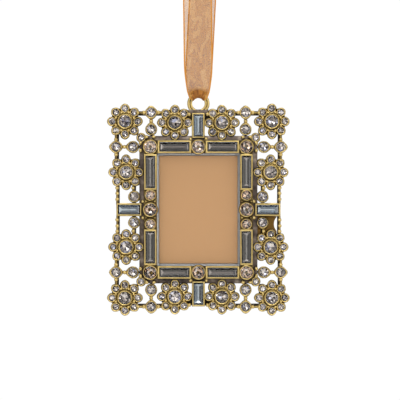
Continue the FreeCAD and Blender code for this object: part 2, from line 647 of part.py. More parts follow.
card = block("Card", "-(%s)" % card_x, card_x, "-(%s)" % card_z, card_z,
             "Sizes.cover_boss + Sizes.tray_thickness - (%s)" % recess,
             "Sizes.cover_boss + Sizes.tray_thickness - Sizes.card_gap")
card.Label = "picture_card"
nodes.append(card)

cover = doc.addObject("PartDesign::Body", "Cover")
cover.Label = "back_cover"
cover.Placement = FreeCAD.Placement(FreeCAD.Vector(0, 0, 0), FACING)
nodes.append(cover)
cover_x = "Layout.pocket_x + Sizes.cover_lap"
cover_z = "Layout.pocket_z + Sizes.cover_lap"
plate = slab(cover, "PartDesign::AdditiveBox", "CoverPlate", cover_x, cover_z, "0", COVER)
doc.recompute()
plate_round = cover.newObject("PartDesign::Fillet", "CoverCorners")
plate_round.Base = (plate, edges_where(plate.Shape, lambda a, b: abs(a.z - b.z) > 1e-6))
bind(plate_round, Radius="Sizes.cover_corner")
tab = cover.newObject("PartDesign::AdditiveBox", "ThumbTab")
tab_start = "Layout.pocket_x"
tab_end = "Layout.ledge_x + Sizes.tab_reach"
bind(tab, Length="%s - %s" % (tab_end, tab_start), Width="Sizes.tab_height", Height=COVER,
     Placement__Base__x=tab_start,
     Placement__Base__y="-Sizes.tab_drop - Sizes.tab_height / 2")
notch = cover.newObject("PartDesign::SubtractiveCylinder", "ThumbNotch")
bind(notch, Radius="Sizes.tab_notch_radius", Height="%s + 2 * %s" % (COVER, PAST),
     Placement__Base__x="%s + Sizes.tab_notch_radius - Sizes.tab_notch_depth" % tab_end,
     Placement__Base__y="-Sizes.tab_drop", Placement__Base__z="-" + PAST)
slab(cover, "PartDesign::AdditiveBox", "CoverBoss", seat_x, seat_z, COVER,
     COVER + " + Sizes.cover_boss")


# Ribbon loop through the ring: two strands that spread to a rounded top

def loop_solid(name, low_radius, high_radius):
    """The space inside a loop's outline in side view, as wide as the ribbon."""
    half = "Sizes.ribbon_width / 2"
    lean = "asin((%s - %s) / Sizes.ribbon_length)" % (high_radius, low_radius)
    pieces = []
    for part_name, radius, z in (("Low", low_radius, "Layout.turn_z"),
                                 ("High", high_radius, "Layout.turn_z + Sizes.ribbon_length")):
        turn = doc.addObject("Part::Cylinder", name + part_name)
        turn.Placement = FreeCAD.Placement(FreeCAD.Vector(0, 0, 0),
                                           FreeCAD.Rotation(FreeCAD.Vector(0, 1, 0), 90))
        bind(turn, Radius=radius, Height="Sizes.ribbon_width", Placement__Base__x="-" + half,
             Placement__Base__y="Layout.ring_middle_y", Placement__Base__z=z)
        pieces.append(turn)
    strands = doc.addObject("Part::Wedge", name + "Strands")
    strands.Placement = FreeCAD.Placement(FreeCAD.Vector(0, 0, 0), FACING)
    bind(strands, Xmin="-" + half, Xmax=half, X2min="-" + half, X2max=half,
         Ymin="-(%s) * sin(%s)" % (low_radius, lean),
         Ymax="Sizes.ribbon_length - (%s) * sin(%s)" % (high_radius, lean),
         Zmin="-(%s) * cos(%s)" % (low_radius, lean), Zmax="(%s) * cos(%s)" % (low_radius, lean),
         Z2min="-(%s) * cos(%s)" % (high_radius, lean), Z2max="(%s) * cos(%s)" % (high_radius, lean),
         Placement__Base__y="Layout.ring_middle_y", Placement__Base__z="Layout.turn_z")
    solid = doc.addObject("Part::MultiFuse", name)
    solid.Shapes = pieces + [strands]
    return solid


low_inner = "Layout.turn_inner"
high_inner = "(Sizes.ribbon_spread / 2 - Sizes.ribbon_thickness)"
loop_outside = loop_solid("LoopOutside", "(%s + Sizes.ribbon_thickness)" % low_inner,
                          "(Sizes.ribbon_spread / 2)")
loop_inside = loop_solid("LoopInside", low_inner, high_inner)
loop = doc.addObject("Part::Cut", "Loop")
loop.Base = loop_outside
loop.Tool = loop_inside

# Front view of the ribbon: it narrows towards the ring, and only its gathered middle goes
# through the hole

reach = "Sizes.ribbon_spread"
gather_z = "Layout.turn_z - Layout.turn_inner - Sizes.ribbon_thickness"
gather = doc.addObject("Part::Wedge", "Gather")
gather.Placement = FreeCAD.Placement(FreeCAD.Vector(0, 0, 0), FACING)
gather.Ymin = 0
bind(gather, Xmin="-Sizes.ribbon_foot / 2", Xmax="Sizes.ribbon_foot / 2",
     X2min="-Sizes.ribbon_width / 2", X2max="Sizes.ribbon_width / 2",
     Zmin="-" + reach, Zmax=reach, Z2min="-" + reach, Z2max=reach,
     Ymax="Sizes.gather_length", Placement__Base__y="Layout.ring_middle_y",
     Placement__Base__z=gather_z)


def across(name, width, half_depth, z_low, height):
    """A block through the ribbon's middle plane, centred on the ring from front to back."""
    box = doc.addObject("Part::Box", name)
    return bind(box, Length=width, Width="2 * (%s)" % half_depth, Height=height,
                Placement__Base__x="-(%s) / 2" % width,
                Placement__Base__y="Layout.ring_middle_y - (%s)" % half_depth,
                Placement__Base__z=z_low)


full_width = across("FullWidth", "Sizes.ribbon_width", reach, gather_z + " + Sizes.gather_length",
                    "Sizes.ribbon_length + Sizes.ribbon_spread")
strand_outline = doc.addObject("Part::MultiFuse", "StrandOutline")
strand_outline.Shapes = [full_width, gather]
ring_way = across("RingWay", "2 * Sizes.ribbon_width",
                  "Sizes.ring_thickness / 2 + Sizes.ribbon_gap * 2 / 3",
                  "Layout.ring_middle_z - Sizes.ring_hole_radius",
                  "Layout.turn_z - Layout.ring_middle_z + Sizes.ring_hole_radius")
beside_ring = doc.addObject("Part::Cut", "BesideRing")
beside_ring.Base = strand_outline
beside_ring.Tool = ring_way
waist = across("Waist", "Sizes.ribbon_waist", reach, "%s - %s" % (gather_z, PAST),
               "Layout.turn_inner + " + PAST)
outline = doc.addObject("Part::MultiFuse", "RibbonOutline")
outline.Shapes = [beside_ring, waist]
ribbon = doc.addObject("Part::Common", "Ribbon")
ribbon.Base = loop
ribbon.Tool = outline
ribbon.Label = "ribbon_loop"
nodes.append(ribbon)


# Check every object and write each piece

doc.recompute()
failed = [item.Label for item in doc.Objects
          if "Invalid" in item.State or "Error" in item.State]
if failed:
    raise RuntimeError("objects that failed: " + ", ".join(failed))
for item in nodes:
    if item.Shape.isNull() or not item.Shape.isValid():
        raise RuntimeError("the shape of %s isn't valid" % item.Label)
os.makedirs("parts", exist_ok=True)
for item in nodes:
    item.Shape.exportStep("parts/%s.step" % item.Label)
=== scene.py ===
import math
import random

import bmesh
import bpy
from mathutils import Matrix, Vector, noise


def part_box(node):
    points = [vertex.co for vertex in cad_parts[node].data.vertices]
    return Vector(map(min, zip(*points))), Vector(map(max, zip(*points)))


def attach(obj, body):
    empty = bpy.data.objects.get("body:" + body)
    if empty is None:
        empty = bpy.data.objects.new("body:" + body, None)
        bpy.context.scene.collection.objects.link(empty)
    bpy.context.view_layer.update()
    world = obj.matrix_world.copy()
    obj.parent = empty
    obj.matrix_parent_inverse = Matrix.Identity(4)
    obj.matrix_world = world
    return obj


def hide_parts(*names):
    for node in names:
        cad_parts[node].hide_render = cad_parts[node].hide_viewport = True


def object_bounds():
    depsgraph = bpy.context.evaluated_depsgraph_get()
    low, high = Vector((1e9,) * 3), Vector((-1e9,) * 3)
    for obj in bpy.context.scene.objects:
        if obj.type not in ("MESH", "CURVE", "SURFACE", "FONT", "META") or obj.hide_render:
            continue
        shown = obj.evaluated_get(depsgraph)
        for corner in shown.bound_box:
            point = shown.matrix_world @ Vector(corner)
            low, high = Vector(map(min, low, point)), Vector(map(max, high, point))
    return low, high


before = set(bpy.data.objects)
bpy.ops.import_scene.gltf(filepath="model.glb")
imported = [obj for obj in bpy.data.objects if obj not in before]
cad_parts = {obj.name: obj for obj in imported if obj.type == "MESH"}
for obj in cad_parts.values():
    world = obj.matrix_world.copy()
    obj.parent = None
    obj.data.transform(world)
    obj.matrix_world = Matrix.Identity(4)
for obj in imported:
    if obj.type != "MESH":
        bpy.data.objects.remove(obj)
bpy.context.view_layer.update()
MM = 0.001

# Camera
# The photograph looks straight at the front from far away and cuts the ribbon off at its top
# edge. One of its pixels is a third of a millimetre on the ornament.
PHOTO_PIXELS = 400
PIXEL = MM / 3
OPENING_PIXEL = (198.4, 209.6)
CAMERA_DISTANCE = 900 * MM
camera_data = bpy.data.cameras.new("camera")
camera_data.lens = camera_data.sensor_width * CAMERA_DISTANCE / (PHOTO_PIXELS * PIXEL)
camera = bpy.data.objects.new("camera", camera_data)
camera.location = ((PHOTO_PIXELS / 2 - OPENING_PIXEL[0]) * PIXEL, -CAMERA_DISTANCE,
                   (OPENING_PIXEL[1] - PHOTO_PIXELS / 2) * PIXEL)
camera.rotation_euler = (math.radians(90), 0, 0)
bpy.context.scene.collection.objects.link(camera)
bpy.context.scene.camera = camera

# Picture surround of the casting
# The plain ledge and the raised band about the opening, with the pocket behind them. It is the
# flat heart of one zinc casting, which is gold plated and then blackened in every low place.
OPENING = (27.5, 37.3)
LEDGE_HEIGHT = 1.5
LEDGE_WIDTH = 1.5
BAND_WIDTH = 4.4
BAND_FLOOR = 2.6
POCKET_LIP = 1.2
POCKET_DEPTH = 2.05
CASTING_BACK = -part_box("frame_casting")[1].y / MM
EDGE = 0.12
SHARP = math.radians(30)
SLACK = 0.05
UNEVEN = 0.09
UNEVEN_SPAN = 1.3
TO_FRONT = (Matrix.Translation((0, -CASTING_BACK * MM, 0))
            @ Matrix.Rotation(math.radians(90), 4, "X") @ Matrix.Scale(MM, 4))


def colour(text):
    """An sRGB hex colour as the linear values that a shader takes."""
    shares = [int(text[start:start + 2], 16) / 255 for start in (1, 3, 5)]
    linear = [s / 12.92 if s <= 0.04045 else ((s + 0.055) / 1.055) ** 2.4 for s in shares]
    return linear + [1.0]


def per(size):
    """The scale of a pattern whose features are this many millimetres across."""
    return 1 / (size * MM)


def node(tree, kind, inputs=(), **settings):
    """Add a node with its settings. Each input is a value, a socket to link to, or a node whose
    first output is linked."""
    added = tree.nodes.new("ShaderNode" + kind)
    for name, value in settings.items():
        setattr(added, name, value)
    for name, value in dict(inputs).items():
        if isinstance(value, bpy.types.Node):
            value = value.outputs[0]
        if isinstance(value, bpy.types.NodeSocket):
            tree.links.new(value, added.inputs[name])
        else:
            added.inputs[name].default_value = value
    return added


def mottle(tree, place, size, detail):
    """Cloudy noise with features of this many millimetres."""
    return node(tree, "TexNoise", {"Vector": place, "Scale": per(size), "Detail": detail})


def remap(tree, value, start, end=(0.0, 1.0)):
    """Carry a value over from one range to another, held at its ends."""
    return node(tree, "MapRange", {"Value": value, "From Min": start[0], "From Max": start[1],
                                   "To Min": end[0], "To Max": end[1]})


def maths(tree, operation, *values, **settings):
    """One step of arithmetic."""
    return node(tree, "Math", enumerate(values), operation=operation, **settings)


def bump(tree, height, strength, depth):
    """Fine relief of this many millimetres."""
    return node(tree, "Bump", {"Height": height, "Strength": strength, "Distance": depth * MM})


def ramp(tree, value, stops):
    """Colours that follow a value. Each stop is a place and a hex colour."""
    added = node(tree, "ValToRGB", {"Fac": value})
    elements = added.color_ramp.elements
    while len(elements) < len(stops):
        elements.new(0.5)
    for element, (place, text) in zip(elements, stops):
        element.position = place
        element.color = colour(text)
    return added


def new_material(name):
    """An empty node material, and its tree."""
    material = bpy.data.materials.new(name)
    material.use_nodes = True
    material.node_tree.nodes.clear()
    return material, material.node_tree


def place_on(tree):
    """The place on the object, in metres."""
    return node(tree, "TexCoord").outputs["Object"]


def principled(tree, inputs):
    """End a material's tree in one surface."""
    node(tree, "OutputMaterial", {"Surface": node(tree, "BsdfPrincipled", inputs)})


def antiqued_gold(name, dark_height, bright_height):
    """Gold plated zinc that was blackened and rubbed back: low places stay near black, rims are
    rubbed to bright gold, and the metal between them is a dull bronze. Heights are millimetres
    forward of the casting's back."""
    material, tree = new_material(name)
    place = place_on(tree)
    depth = node(tree, "SeparateXYZ", {"Vector": place}).outputs["Y"]
    rubbed = remap(tree, depth, [-(height + CASTING_BACK) * MM
                                 for height in (dark_height, bright_height)])
    normal = node(tree, "NewGeometry").outputs["Normal"]
    backward = node(tree, "SeparateXYZ", {"Vector": normal}).outputs["Y"]
    behind = remap(tree, backward, (0.5, 0.9), (0.0, 0.62))
    drift = remap(tree, mottle(tree, place, 1.6, 4.0), (0.25, 0.75), (-0.28, 0.28))
    worn = maths(tree, "ADD", maths(tree, "MAXIMUM", rubbed, behind), drift, use_clamp=True)
    tint = ramp(tree, worn, [(0.0, "#2E2A24"), (0.3, "#5A4B32"), (0.6, "#A38D54"),
                             (0.9, "#CCB576")])
    principled(tree, {"Base Color": tint, "Metallic": 1.0,
                      "Roughness": remap(tree, worn, (0.0, 1.0), (0.5, 0.33)),
                      "Normal": bump(tree, mottle(tree, place, 0.35, 3.0), 0.12, 0.05)})
    return material


def blackened_metal(name, wear=1.0):
    """The same casting where nothing rubs it: oxidised to a warm grey-black with a low gloss
    that still streaks along the ledge. More wear bares more of the grey zinc."""
    material, tree = new_material(name)
    place = place_on(tree)
    tint = ramp(tree, mottle(tree, place, 2.5, 5.0),
                [(0.3 / wear, "#3A332F"), (0.54 / wear, "#635850"), (0.75 / wear, "#968A7C")])
    principled(tree, {"Base Color": tint, "Metallic": 0.9, "Roughness": 0.42,
                      "Normal": bump(tree, mottle(tree, place, 0.3, 2.0), 0.15, 0.05)})
    return material


def pattern_of(bm, name="pattern"):
    """Keep a shape as a mesh."""
    mesh = bpy.data.meshes.new(name)
    bm.to_mesh(mesh)
    bm.free()
    return mesh


def finish_piece(name, bm, materials, smooth=35, matrix=TO_FRONT, uneven=0.0):
    """Make an object of a shape that was built flat in millimetres, its height along Z, and turn
    it to face the front. Faces that meet below the smooth angle shade as one, and a cast piece is
    uneven by a few hundredths of a millimetre."""
    for vert in bm.verts:
        vert.co += uneven * noise.noise_vector(vert.co / UNEVEN_SPAN)
    bmesh.ops.transform(bm, matrix=matrix, verts=bm.verts)
    mesh = pattern_of(bm, name)
    for material in materials:
        mesh.materials.append(material)
    if smooth:
        mesh.polygons.foreach_set("use_smooth", [True] * len(mesh.polygons))
        mesh.set_sharp_from_angle(angle=math.radians(smooth))
    piece = bpy.data.objects.new(name, mesh)
    bpy.context.scene.collection.objects.link(piece)
    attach(piece, "root")
    return piece


def step(bm, face, inset, rise):
    """Inset a face and lift what is left of it, with upright walls."""
    if inset:
        bmesh.ops.inset_region(bm, faces=[face], thickness=inset, use_boundary=True,
                               use_even_offset=True)
    if rise:
        lifted = bmesh.ops.extrude_face_region(bm, geom=[face])["geom"]
        top = [item for item in lifted if isinstance(item, bmesh.types.BMFace)][0]
        bmesh.ops.translate(bm, vec=(0, 0, rise), verts=top.verts)
        bmesh.ops.delete(bm, geom=[face], context="FACES_ONLY")
        face = top
    return face


def round_edges(bm, edges, offset, segments=2):
    """Round edges of a shape."""
    bmesh.ops.bevel(bm, geom=edges, offset=offset, segments=segments, profile=0.5,
                    affect="EDGES", material=-1, clamp_overlap=True)


blackened = blackened_metal("blackened_zinc")
gold_on_floor = antiqued_gold("antiqued_gold_on_floor", 2.0, 3.8)
ledge_half = [size / 2 + BAND_WIDTH + LEDGE_WIDTH for size in OPENING]
back_steps = ((LEDGE_WIDTH + BAND_WIDTH - POCKET_LIP, POCKET_DEPTH), (POCKET_LIP, 0))
front_steps = ((LEDGE_WIDTH, BAND_FLOOR - LEDGE_HEIGHT), (BAND_WIDTH, 0))
surround_bm = bmesh.new()
for height, steps in ((0, back_steps), (LEDGE_HEIGHT, front_steps)):
    corners = bmesh.ops.create_grid(surround_bm, x_segments=1, y_segments=1, size=1)["verts"]
    bmesh.ops.scale(surround_bm, vec=(ledge_half[0], ledge_half[1], 1), verts=corners)
    bmesh.ops.translate(surround_bm, vec=(0, 0, height), verts=corners)
    face = corners[0].link_faces[0]
    for inset, rise in steps:
        face = step(surround_bm, face, inset, rise)
    bmesh.ops.delete(surround_bm, geom=[face], context="FACES_ONLY")
open_edges = [edge for edge in surround_bm.edges if edge.is_boundary]
outer = [edge for edge in open_edges if abs(abs(edge.verts[0].co.x) - ledge_half[0]) < SLACK]
inner = [edge for edge in open_edges if edge not in outer]
bmesh.ops.bridge_loops(surround_bm, edges=outer)
bmesh.ops.bridge_loops(surround_bm, edges=inner)
bmesh.ops.recalc_face_normals(surround_bm, faces=surround_bm.faces)
round_edges(surround_bm, [edge for edge in surround_bm.edges
                          if len(edge.link_faces) == 2 and edge.calc_face_angle() > SHARP], EDGE)
for face in surround_bm.faces:
    middle = face.calc_center_median()
    inside = abs(middle.x) < OPENING[0] / 2 + EDGE and abs(middle.y) < OPENING[1] / 2 + EDGE
    if inside or middle.z > BAND_FLOOR - SLACK:
        face.material_index = 1
surround = finish_piece("surround", surround_bm, [blackened, gold_on_floor])
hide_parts("frame_casting")

# Round settings of the band
# Eight large collets stand at the corners and the middles of the band, and a smaller one above
# and below each side's middle. Each is a cast cup with a rolled lip over its stone's girdle.
LARGE_STONE = 2.06
LARGE_WALL = 0.54
SPACER_STONE = 1.55
SPACER_WALL = 0.38
SPACER_FLARE = 0.12
SPACER_GAP = 0.3
BAND_RIM = 3.7
CUP_SINK = 0.4
CUP_STEPS = 28
BULGE = 0.03
LIP = 0.14
LIP_REST = 0.05
SEAT_DROP = 0.3
SEAT_SLOPE = 0.95
POINT_SHARPNESS = 10
BAND_BEAD = 0.42
BAND_BEAD_HEIGHT = 3.05
BAND_BEAD_PLACES = ((-1.5, -2.1), (-1.5, 1.95), (1.5, -2.1), (1.5, 1.95))
SIDES = {"left": -1, "right": 1}
LEVELS = {"top": 1, "bottom": -1}
QUARTERS = [(across, up) for across in SIDES.values() for up in LEVELS.values()]


def lathe(profile, steps):
    """Turn a profile of radius and height about the Z axis into a closed shape."""
    bm = bmesh.new()
    verts = [bm.verts.new((radius, 0, height)) for radius, height in profile]
    edges = [bm.edges.new(pair) for pair in zip(verts, verts[1:])]
    bmesh.ops.spin(bm, geom=verts + edges, cent=(0, 0, 0), axis=(0, 0, 1), dvec=(0, 0, 0),
                   angle=math.radians(360), steps=steps, use_merge=True, use_duplicate=False)
    bmesh.ops.remove_doubles(bm, verts=bm.verts, dist=0.0001)
    bmesh.ops.recalc_face_normals(bm, faces=bm.faces)
    return bm


def cup(stone_radius, wall, foot, top, points=(), steps=CUP_STEPS, ridge=0.58):
    """A collet: a rounded foot, a wall, a rolled lip and a blackened seat. The lip's ridge stands
    at a share of the wall, and the wall is drawn out to a soft point at each given angle and
    amount."""
    rim = stone_radius + wall
    profile = [(0, foot), (rim * 0.8, foot), (rim - 0.1, foot + 0.12),
               (rim + BULGE, foot + 0.34), (rim + BULGE, top - 0.85),
               (rim - wall * (ridge - 0.42), top - 0.42),
               (rim - wall * (ridge - 0.22), top - 0.12), (rim - wall * ridge, top),
               (rim - wall * 0.76, top - 0.01), (stone_radius + 0.04, top - LIP / 2),
               (stone_radius - LIP_REST, top - LIP), (stone_radius - 0.02, top - SEAT_DROP),
               (0, top - SEAT_DROP - SEAT_SLOPE * stone_radius)]
    bm = lathe(profile, steps)
    for face in bm.faces:
        middle = face.calc_center_median()
        if middle.z > foot + 0.01 and middle.xy.length < stone_radius:
            face.material_index = 1
    for vert in bm.verts:
        radius = vert.co.xy.length
        if radius > stone_radius + 0.02:
            angle = math.atan2(vert.co.y, vert.co.x)
            drawn = sum(amount * max(0, math.cos(angle - math.radians(turn))) ** POINT_SHARPNESS
                        for turn, amount in points)
            reach = (radius - stone_radius) / wall
            vert.co.xy *= 1 + drawn * reach / radius
    return pattern_of(bm)


def ball(radius):
    """A pattern mesh of a cast granule or bead."""
    bm = bmesh.new()
    bmesh.ops.create_icosphere(bm, subdivisions=3, radius=radius)
    return pattern_of(bm)


def put(bm, pattern, matrix):
    """Add a moved copy of a pattern mesh to a shape."""
    moved = pattern.copy()
    moved.transform(matrix)
    bm.from_mesh(moved)
    bpy.data.meshes.remove(moved)


def stamp(bm, pattern, x, y, z=0.0, turn=0.0):
    """Add a copy of a pattern mesh to a shape, turned about Z and moved."""
    put(bm, pattern, Matrix.Translation((x, y, z)) @ Matrix.Rotation(math.radians(turn), 4, "Z"))


gold_over_band = antiqued_gold("antiqued_gold_over_band", 3.1, 3.68)
ring_x, ring_z = [size / 2 + BAND_WIDTH / 2 for size in OPENING]
large_rim = LARGE_STONE + LARGE_WALL
spacer_rim = SPACER_STONE + SPACER_WALL
spacer_z = large_rim + SPACER_GAP + spacer_rim
band_foot = BAND_FLOOR - CUP_SINK
large_places = {"%s_%s" % (level, side): (across * ring_x, up * ring_z)
                for level, up in {"top": 1, "middle": 0, "bottom": -1}.items()
                for side, across in {"left": -1, "centre": 0, "right": 1}.items()
                if (across, up) != (0, 0)}
band_bm = bmesh.new()
band_bead = ball(BAND_BEAD)
large_cup = cup(LARGE_STONE, LARGE_WALL, band_foot, BAND_RIM)
spacer_cup = cup(SPACER_STONE, SPACER_WALL + SPACER_FLARE, band_foot, BAND_RIM)
for x, z in large_places.values():
    stamp(band_bm, large_cup, x, z)
for across, up in QUARTERS:
    stamp(band_bm, spacer_cup, across * ring_x, up * spacer_z)
    for beside, above in BAND_BEAD_PLACES:
        stamp(band_bm, band_bead, across * ring_x + beside, up * (spacer_z + above),
              BAND_BEAD_HEIGHT)

# Long baguette settings of the band
# Walled channels between the round collets, each for one step-cut stone. Their walls are the
# thin gold lines that border the band, and their ends run into the round rims.
BAGUETTE = 3.2
END_WALL = 0.4
SETTING_LAP = 0.35
WALL_ROUND = 0.13
WALL_FLAT = 0.1
FLANK = 0.28
FLANK_RISE = 0.75
SEAT_TAPER = 0.05
KEEL_ROOM = 1.15
KEEL_SHARE = 0.5
TINY = 1e-4


def oblong_setting(bm, x, y, outer_half, seat_half, low, top):
    """A walled box that is open in front, with a blackened seat that narrows with depth."""
    verts = bmesh.ops.create_cube(bm, size=1)["verts"]
    shoulder = top - FLANK_RISE
    bmesh.ops.scale(bm, vec=(2 * outer_half[0], 2 * outer_half[1], shoulder - low), verts=verts)
    bmesh.ops.translate(bm, vec=(x, y, (shoulder + low) / 2), verts=verts)
    face = max({face for vert in verts for face in vert.link_faces},
               key=lambda item: item.calc_center_median().z)
    bmesh.ops.inset_region(bm, faces=[face], thickness=FLANK, depth=0, use_boundary=True)
    bmesh.ops.translate(bm, vec=(0, 0, FLANK_RISE), verts=face.verts)
    outside = set(bm.faces)
    bmesh.ops.inset_region(bm, faces=[face], thickness=WALL_FLAT, use_boundary=True)
    levels = ((seat_half, 0), ([half - SEAT_TAPER for half in seat_half], -SEAT_DROP),
              ([half * KEEL_SHARE for half in seat_half], -KEEL_ROOM))
    for half, drop in levels:
        face = step(bm, face, 0, drop)
        for vert in face.verts:
            vert.co.x = x + math.copysign(half[0], vert.co.x - x)
            vert.co.y = y + math.copysign(half[1], vert.co.y - y)
    for item in bm.faces:
        if item not in outside and item.calc_center_median().z < top - SLACK:
            item.material_index = 1
    level_edges = [edge for edge in bm.edges
                   if all(abs(vert.co.z - top) < TINY for vert in edge.verts)]
    rim = [edge for edge in level_edges if edge.calc_face_angle(0) > SHARP and
           any(abs(vert.co.x - x) <= outer_half[0] + TINY and
               abs(vert.co.y - y) <= outer_half[1] + TINY for vert in edge.verts)]
    round_edges(bm, rim, WALL_ROUND, segments=3)


long_baguettes = {}
wall_end = END_WALL + SETTING_LAP
tall_half = (ring_z - large_rim - spacer_z - spacer_rim) / 2 - END_WALL
tall_middle = (ring_z - large_rim + spacer_z + spacer_rim) / 2
wide_half = (ring_x - 2 * large_rim) / 2 - END_WALL
for side, across in SIDES.items():
    for level, up in LEVELS.items():
        tall = (across * ring_x, up * tall_middle, BAGUETTE / 2, tall_half)
        wide = (across * ring_x / 2, up * ring_z, wide_half, BAGUETTE / 2)
        long_baguettes["long_baguette_%s_%s" % (side, level)] = tall
        long_baguettes["long_baguette_%s_%s" % (level, side)] = wide
        oblong_setting(band_bm, tall[0], tall[1], (BAND_WIDTH / 2, tall_half + wall_end),
                       tall[2:], LEDGE_HEIGHT, BAND_RIM)
        oblong_setting(band_bm, wide[0], wide[1], (wide_half + wall_end, BAND_WIDTH / 2),
                       wide[2:], LEDGE_HEIGHT, BAND_RIM)
finish_piece("band_settings", band_bm, [gold_over_band, blackened], uneven=UNEVEN)

# Flowers of the border
# Twelve flowers stand about the surround, each with eight small collets round a large one on a
# thin round web, and a cast granule in each gap. They carry the sprays and the bars.
MIDDLE_STONE = 2.06
MIDDLE_WALL = 0.52
MIDDLE_RIM = 3.2
MIDDLE_RIDGE = 0.44
PETAL_STONE = 1.1
PETAL_WALL = 0.52
PETAL_RIM = 2.4
PETAL_GAP = 0.05
PETAL_POINT = 0.1
PETAL_STEPS = 20
PETAL_TURNS = [45 * petal for petal in range(8)]
WEB = 1.0
WEB_STEPS = 40
COLLAR = 1.85
CUP_FOOT = 0.55
GRANULE = 0.5
GRANULE_RING = 3.16
GRANULE_DROP = 0.35
petal_ring = MIDDLE_STONE + MIDDLE_WALL + PETAL_STONE + PETAL_WALL + PETAL_GAP
flower_radius = petal_ring + PETAL_STONE + PETAL_WALL


def polar(radius, turn):
    """The place at a radius and an angle in degrees."""
    return radius * math.cos(math.radians(turn)), radius * math.sin(math.radians(turn))


gold_over_web = antiqued_gold("antiqued_gold_over_web", 1.25, 2.4)
gold_over_middle = antiqued_gold("antiqued_gold_over_middle", 2.0, 3.1)
web_disc = pattern_of(lathe([(0, 0), (petal_ring + 0.2, 0), (petal_ring + 0.45, 0.22),
                             (petal_ring + 0.45, WEB - 0.15), (petal_ring + 0.3, WEB),
                             (petal_ring - 0.7, WEB), (petal_ring - 1.1, COLLAR - 0.1),
                             (petal_ring - 1.3, COLLAR), (0, COLLAR)], WEB_STEPS))
middle_cup = cup(MIDDLE_STONE, MIDDLE_WALL, CUP_FOOT, MIDDLE_RIM, ridge=MIDDLE_RIDGE)
for polygon in middle_cup.polygons:
    if polygon.material_index == 0:
        polygon.material_index = 2
petal_cup = cup(PETAL_STONE, PETAL_WALL, CUP_FOOT, PETAL_RIM, points=[(0, PETAL_POINT)],
                steps=PETAL_STEPS)
granule = ball(GRANULE)
flower_bm = bmesh.new()
stamp(flower_bm, web_disc, 0, 0)
stamp(flower_bm, middle_cup, 0, 0)
for turn in PETAL_TURNS:
    between = turn + PETAL_TURNS[1] / 2
    stamp(flower_bm, petal_cup, *polar(petal_ring, turn), turn=turn)
    stamp(flower_bm, granule, *polar(GRANULE_RING, between), PETAL_RIM - GRANULE_DROP)
flower = pattern_of(flower_bm)

flower_places = {}
flowers_bm = bmesh.new()
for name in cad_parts:
    if name.startswith("centre_stone_"):
        low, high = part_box(name)
        middle = (low + high) / 2 / MM
        flower_places[name[len("centre_stone_"):]] = (middle.x, middle.z)
        stamp(flowers_bm, flower, middle.x, middle.z)
finish_piece("flowers", flowers_bm, [gold_over_web, blackened, gold_over_middle],
             uneven=UNEVEN)

# Sprays of the corners
# Between the flowers stand small collets: a drop on the ledge with its round beyond it, above
# and beside each corner of the band, and one on the diagonal. Bars, rods and beads link them.
ROUND_STONE = 1.55
ROUND_WALL = 0.45
ROUND_RIM = 2.5
ROUND_POINTS = [(90, 0.32), (-90, 0.32), (0, 0.16), (180, 0.16)]
DROP_POINTS = [(90, 0.45)]
SPRAY_SHIFT = 0.25
SPRAY_GAP = 0.12
SPRAY_NECK = 1.6
DIAGONAL_GAP = 0.15
DIAGONAL_FOOT = 0.03
BAR_INNER = 1.0
BAR_OUTER = 0.5
BAR_ROUND = 0.25
NECK_HALF = 0.4
NECK_LAP = 0.1
ROD = 0.4
ROD_HEIGHT = 1.5
ROD_TUCK = 0.2
ROD_SIDES = 12
BEAD = 0.67
BEAD_HEIGHT = 1.75
BEADS_BY_FLOWER = (0.9, 1.2, 1.0)
BEADS_BY_ROUND = (0.4, 0.45, 0.55)
LEDGE_BEAD_RISE = 0.6
LEDGE_BEAD_PLACES = ((-1.15, 3.25), (1.25, 3.25), (3.25, -1.2), (3.25, 1.2))
round_rim = ROUND_STONE + ROUND_WALL
petal_rim = PETAL_STONE + PETAL_WALL
spray_x = ring_x - SPRAY_SHIFT
drop_x, drop_z = [half + SPRAY_GAP + round_rim for half in ledge_half]
outer_x, outer_z = [drop + 2 * round_rim + SPRAY_NECK for drop in (drop_x, drop_z)]
corner_x, corner_z = flower_places["corner_top_right"]
diagonal_out = (flower_radius + DIAGONAL_GAP + petal_rim) * math.cos(math.radians(45))
petal_slant = petal_ring * math.cos(math.radians(45))
corner_petal_x, corner_petal_z = corner_x - petal_slant, corner_z - petal_slant
row_petal_x = flower_places["top_row_right"][0] + petal_slant
side_x, side_z = flower_places["right_side_top"]
side_petal_z = side_z + petal_slant
round_edge = round_rim - ROD_TUCK
petal_edge = petal_rim - ROD_TUCK
bead = ball(BEAD)


def web_bar(bm, x_span, y_span, height=WEB):
    """A low bar of the casting with rounded edges."""
    verts = bmesh.ops.create_cube(bm, size=1)["verts"]
    bmesh.ops.scale(bm, vec=(abs(x_span[1] - x_span[0]), abs(y_span[1] - y_span[0]), height),
                    verts=verts)
    bmesh.ops.translate(bm, vec=(sum(x_span) / 2, sum(y_span) / 2, height / 2), verts=verts)
    round_edges(bm, list({edge for vert in verts for edge in vert.link_edges}), BAR_ROUND)


def rod(bm, start, end):
    """A round rod of the openwork between two places, at the height of all its rods."""
    start, end = Vector((*start, ROD_HEIGHT)), Vector((*end, ROD_HEIGHT))
    turn = (end - start).to_track_quat("Z", "Y").to_matrix().to_4x4()
    bmesh.ops.create_cone(bm, cap_ends=True, segments=ROD_SIDES, radius1=ROD, radius2=ROD,
                          depth=(end - start).length,
                          matrix=Matrix.Translation((start + end) / 2) @ turn)


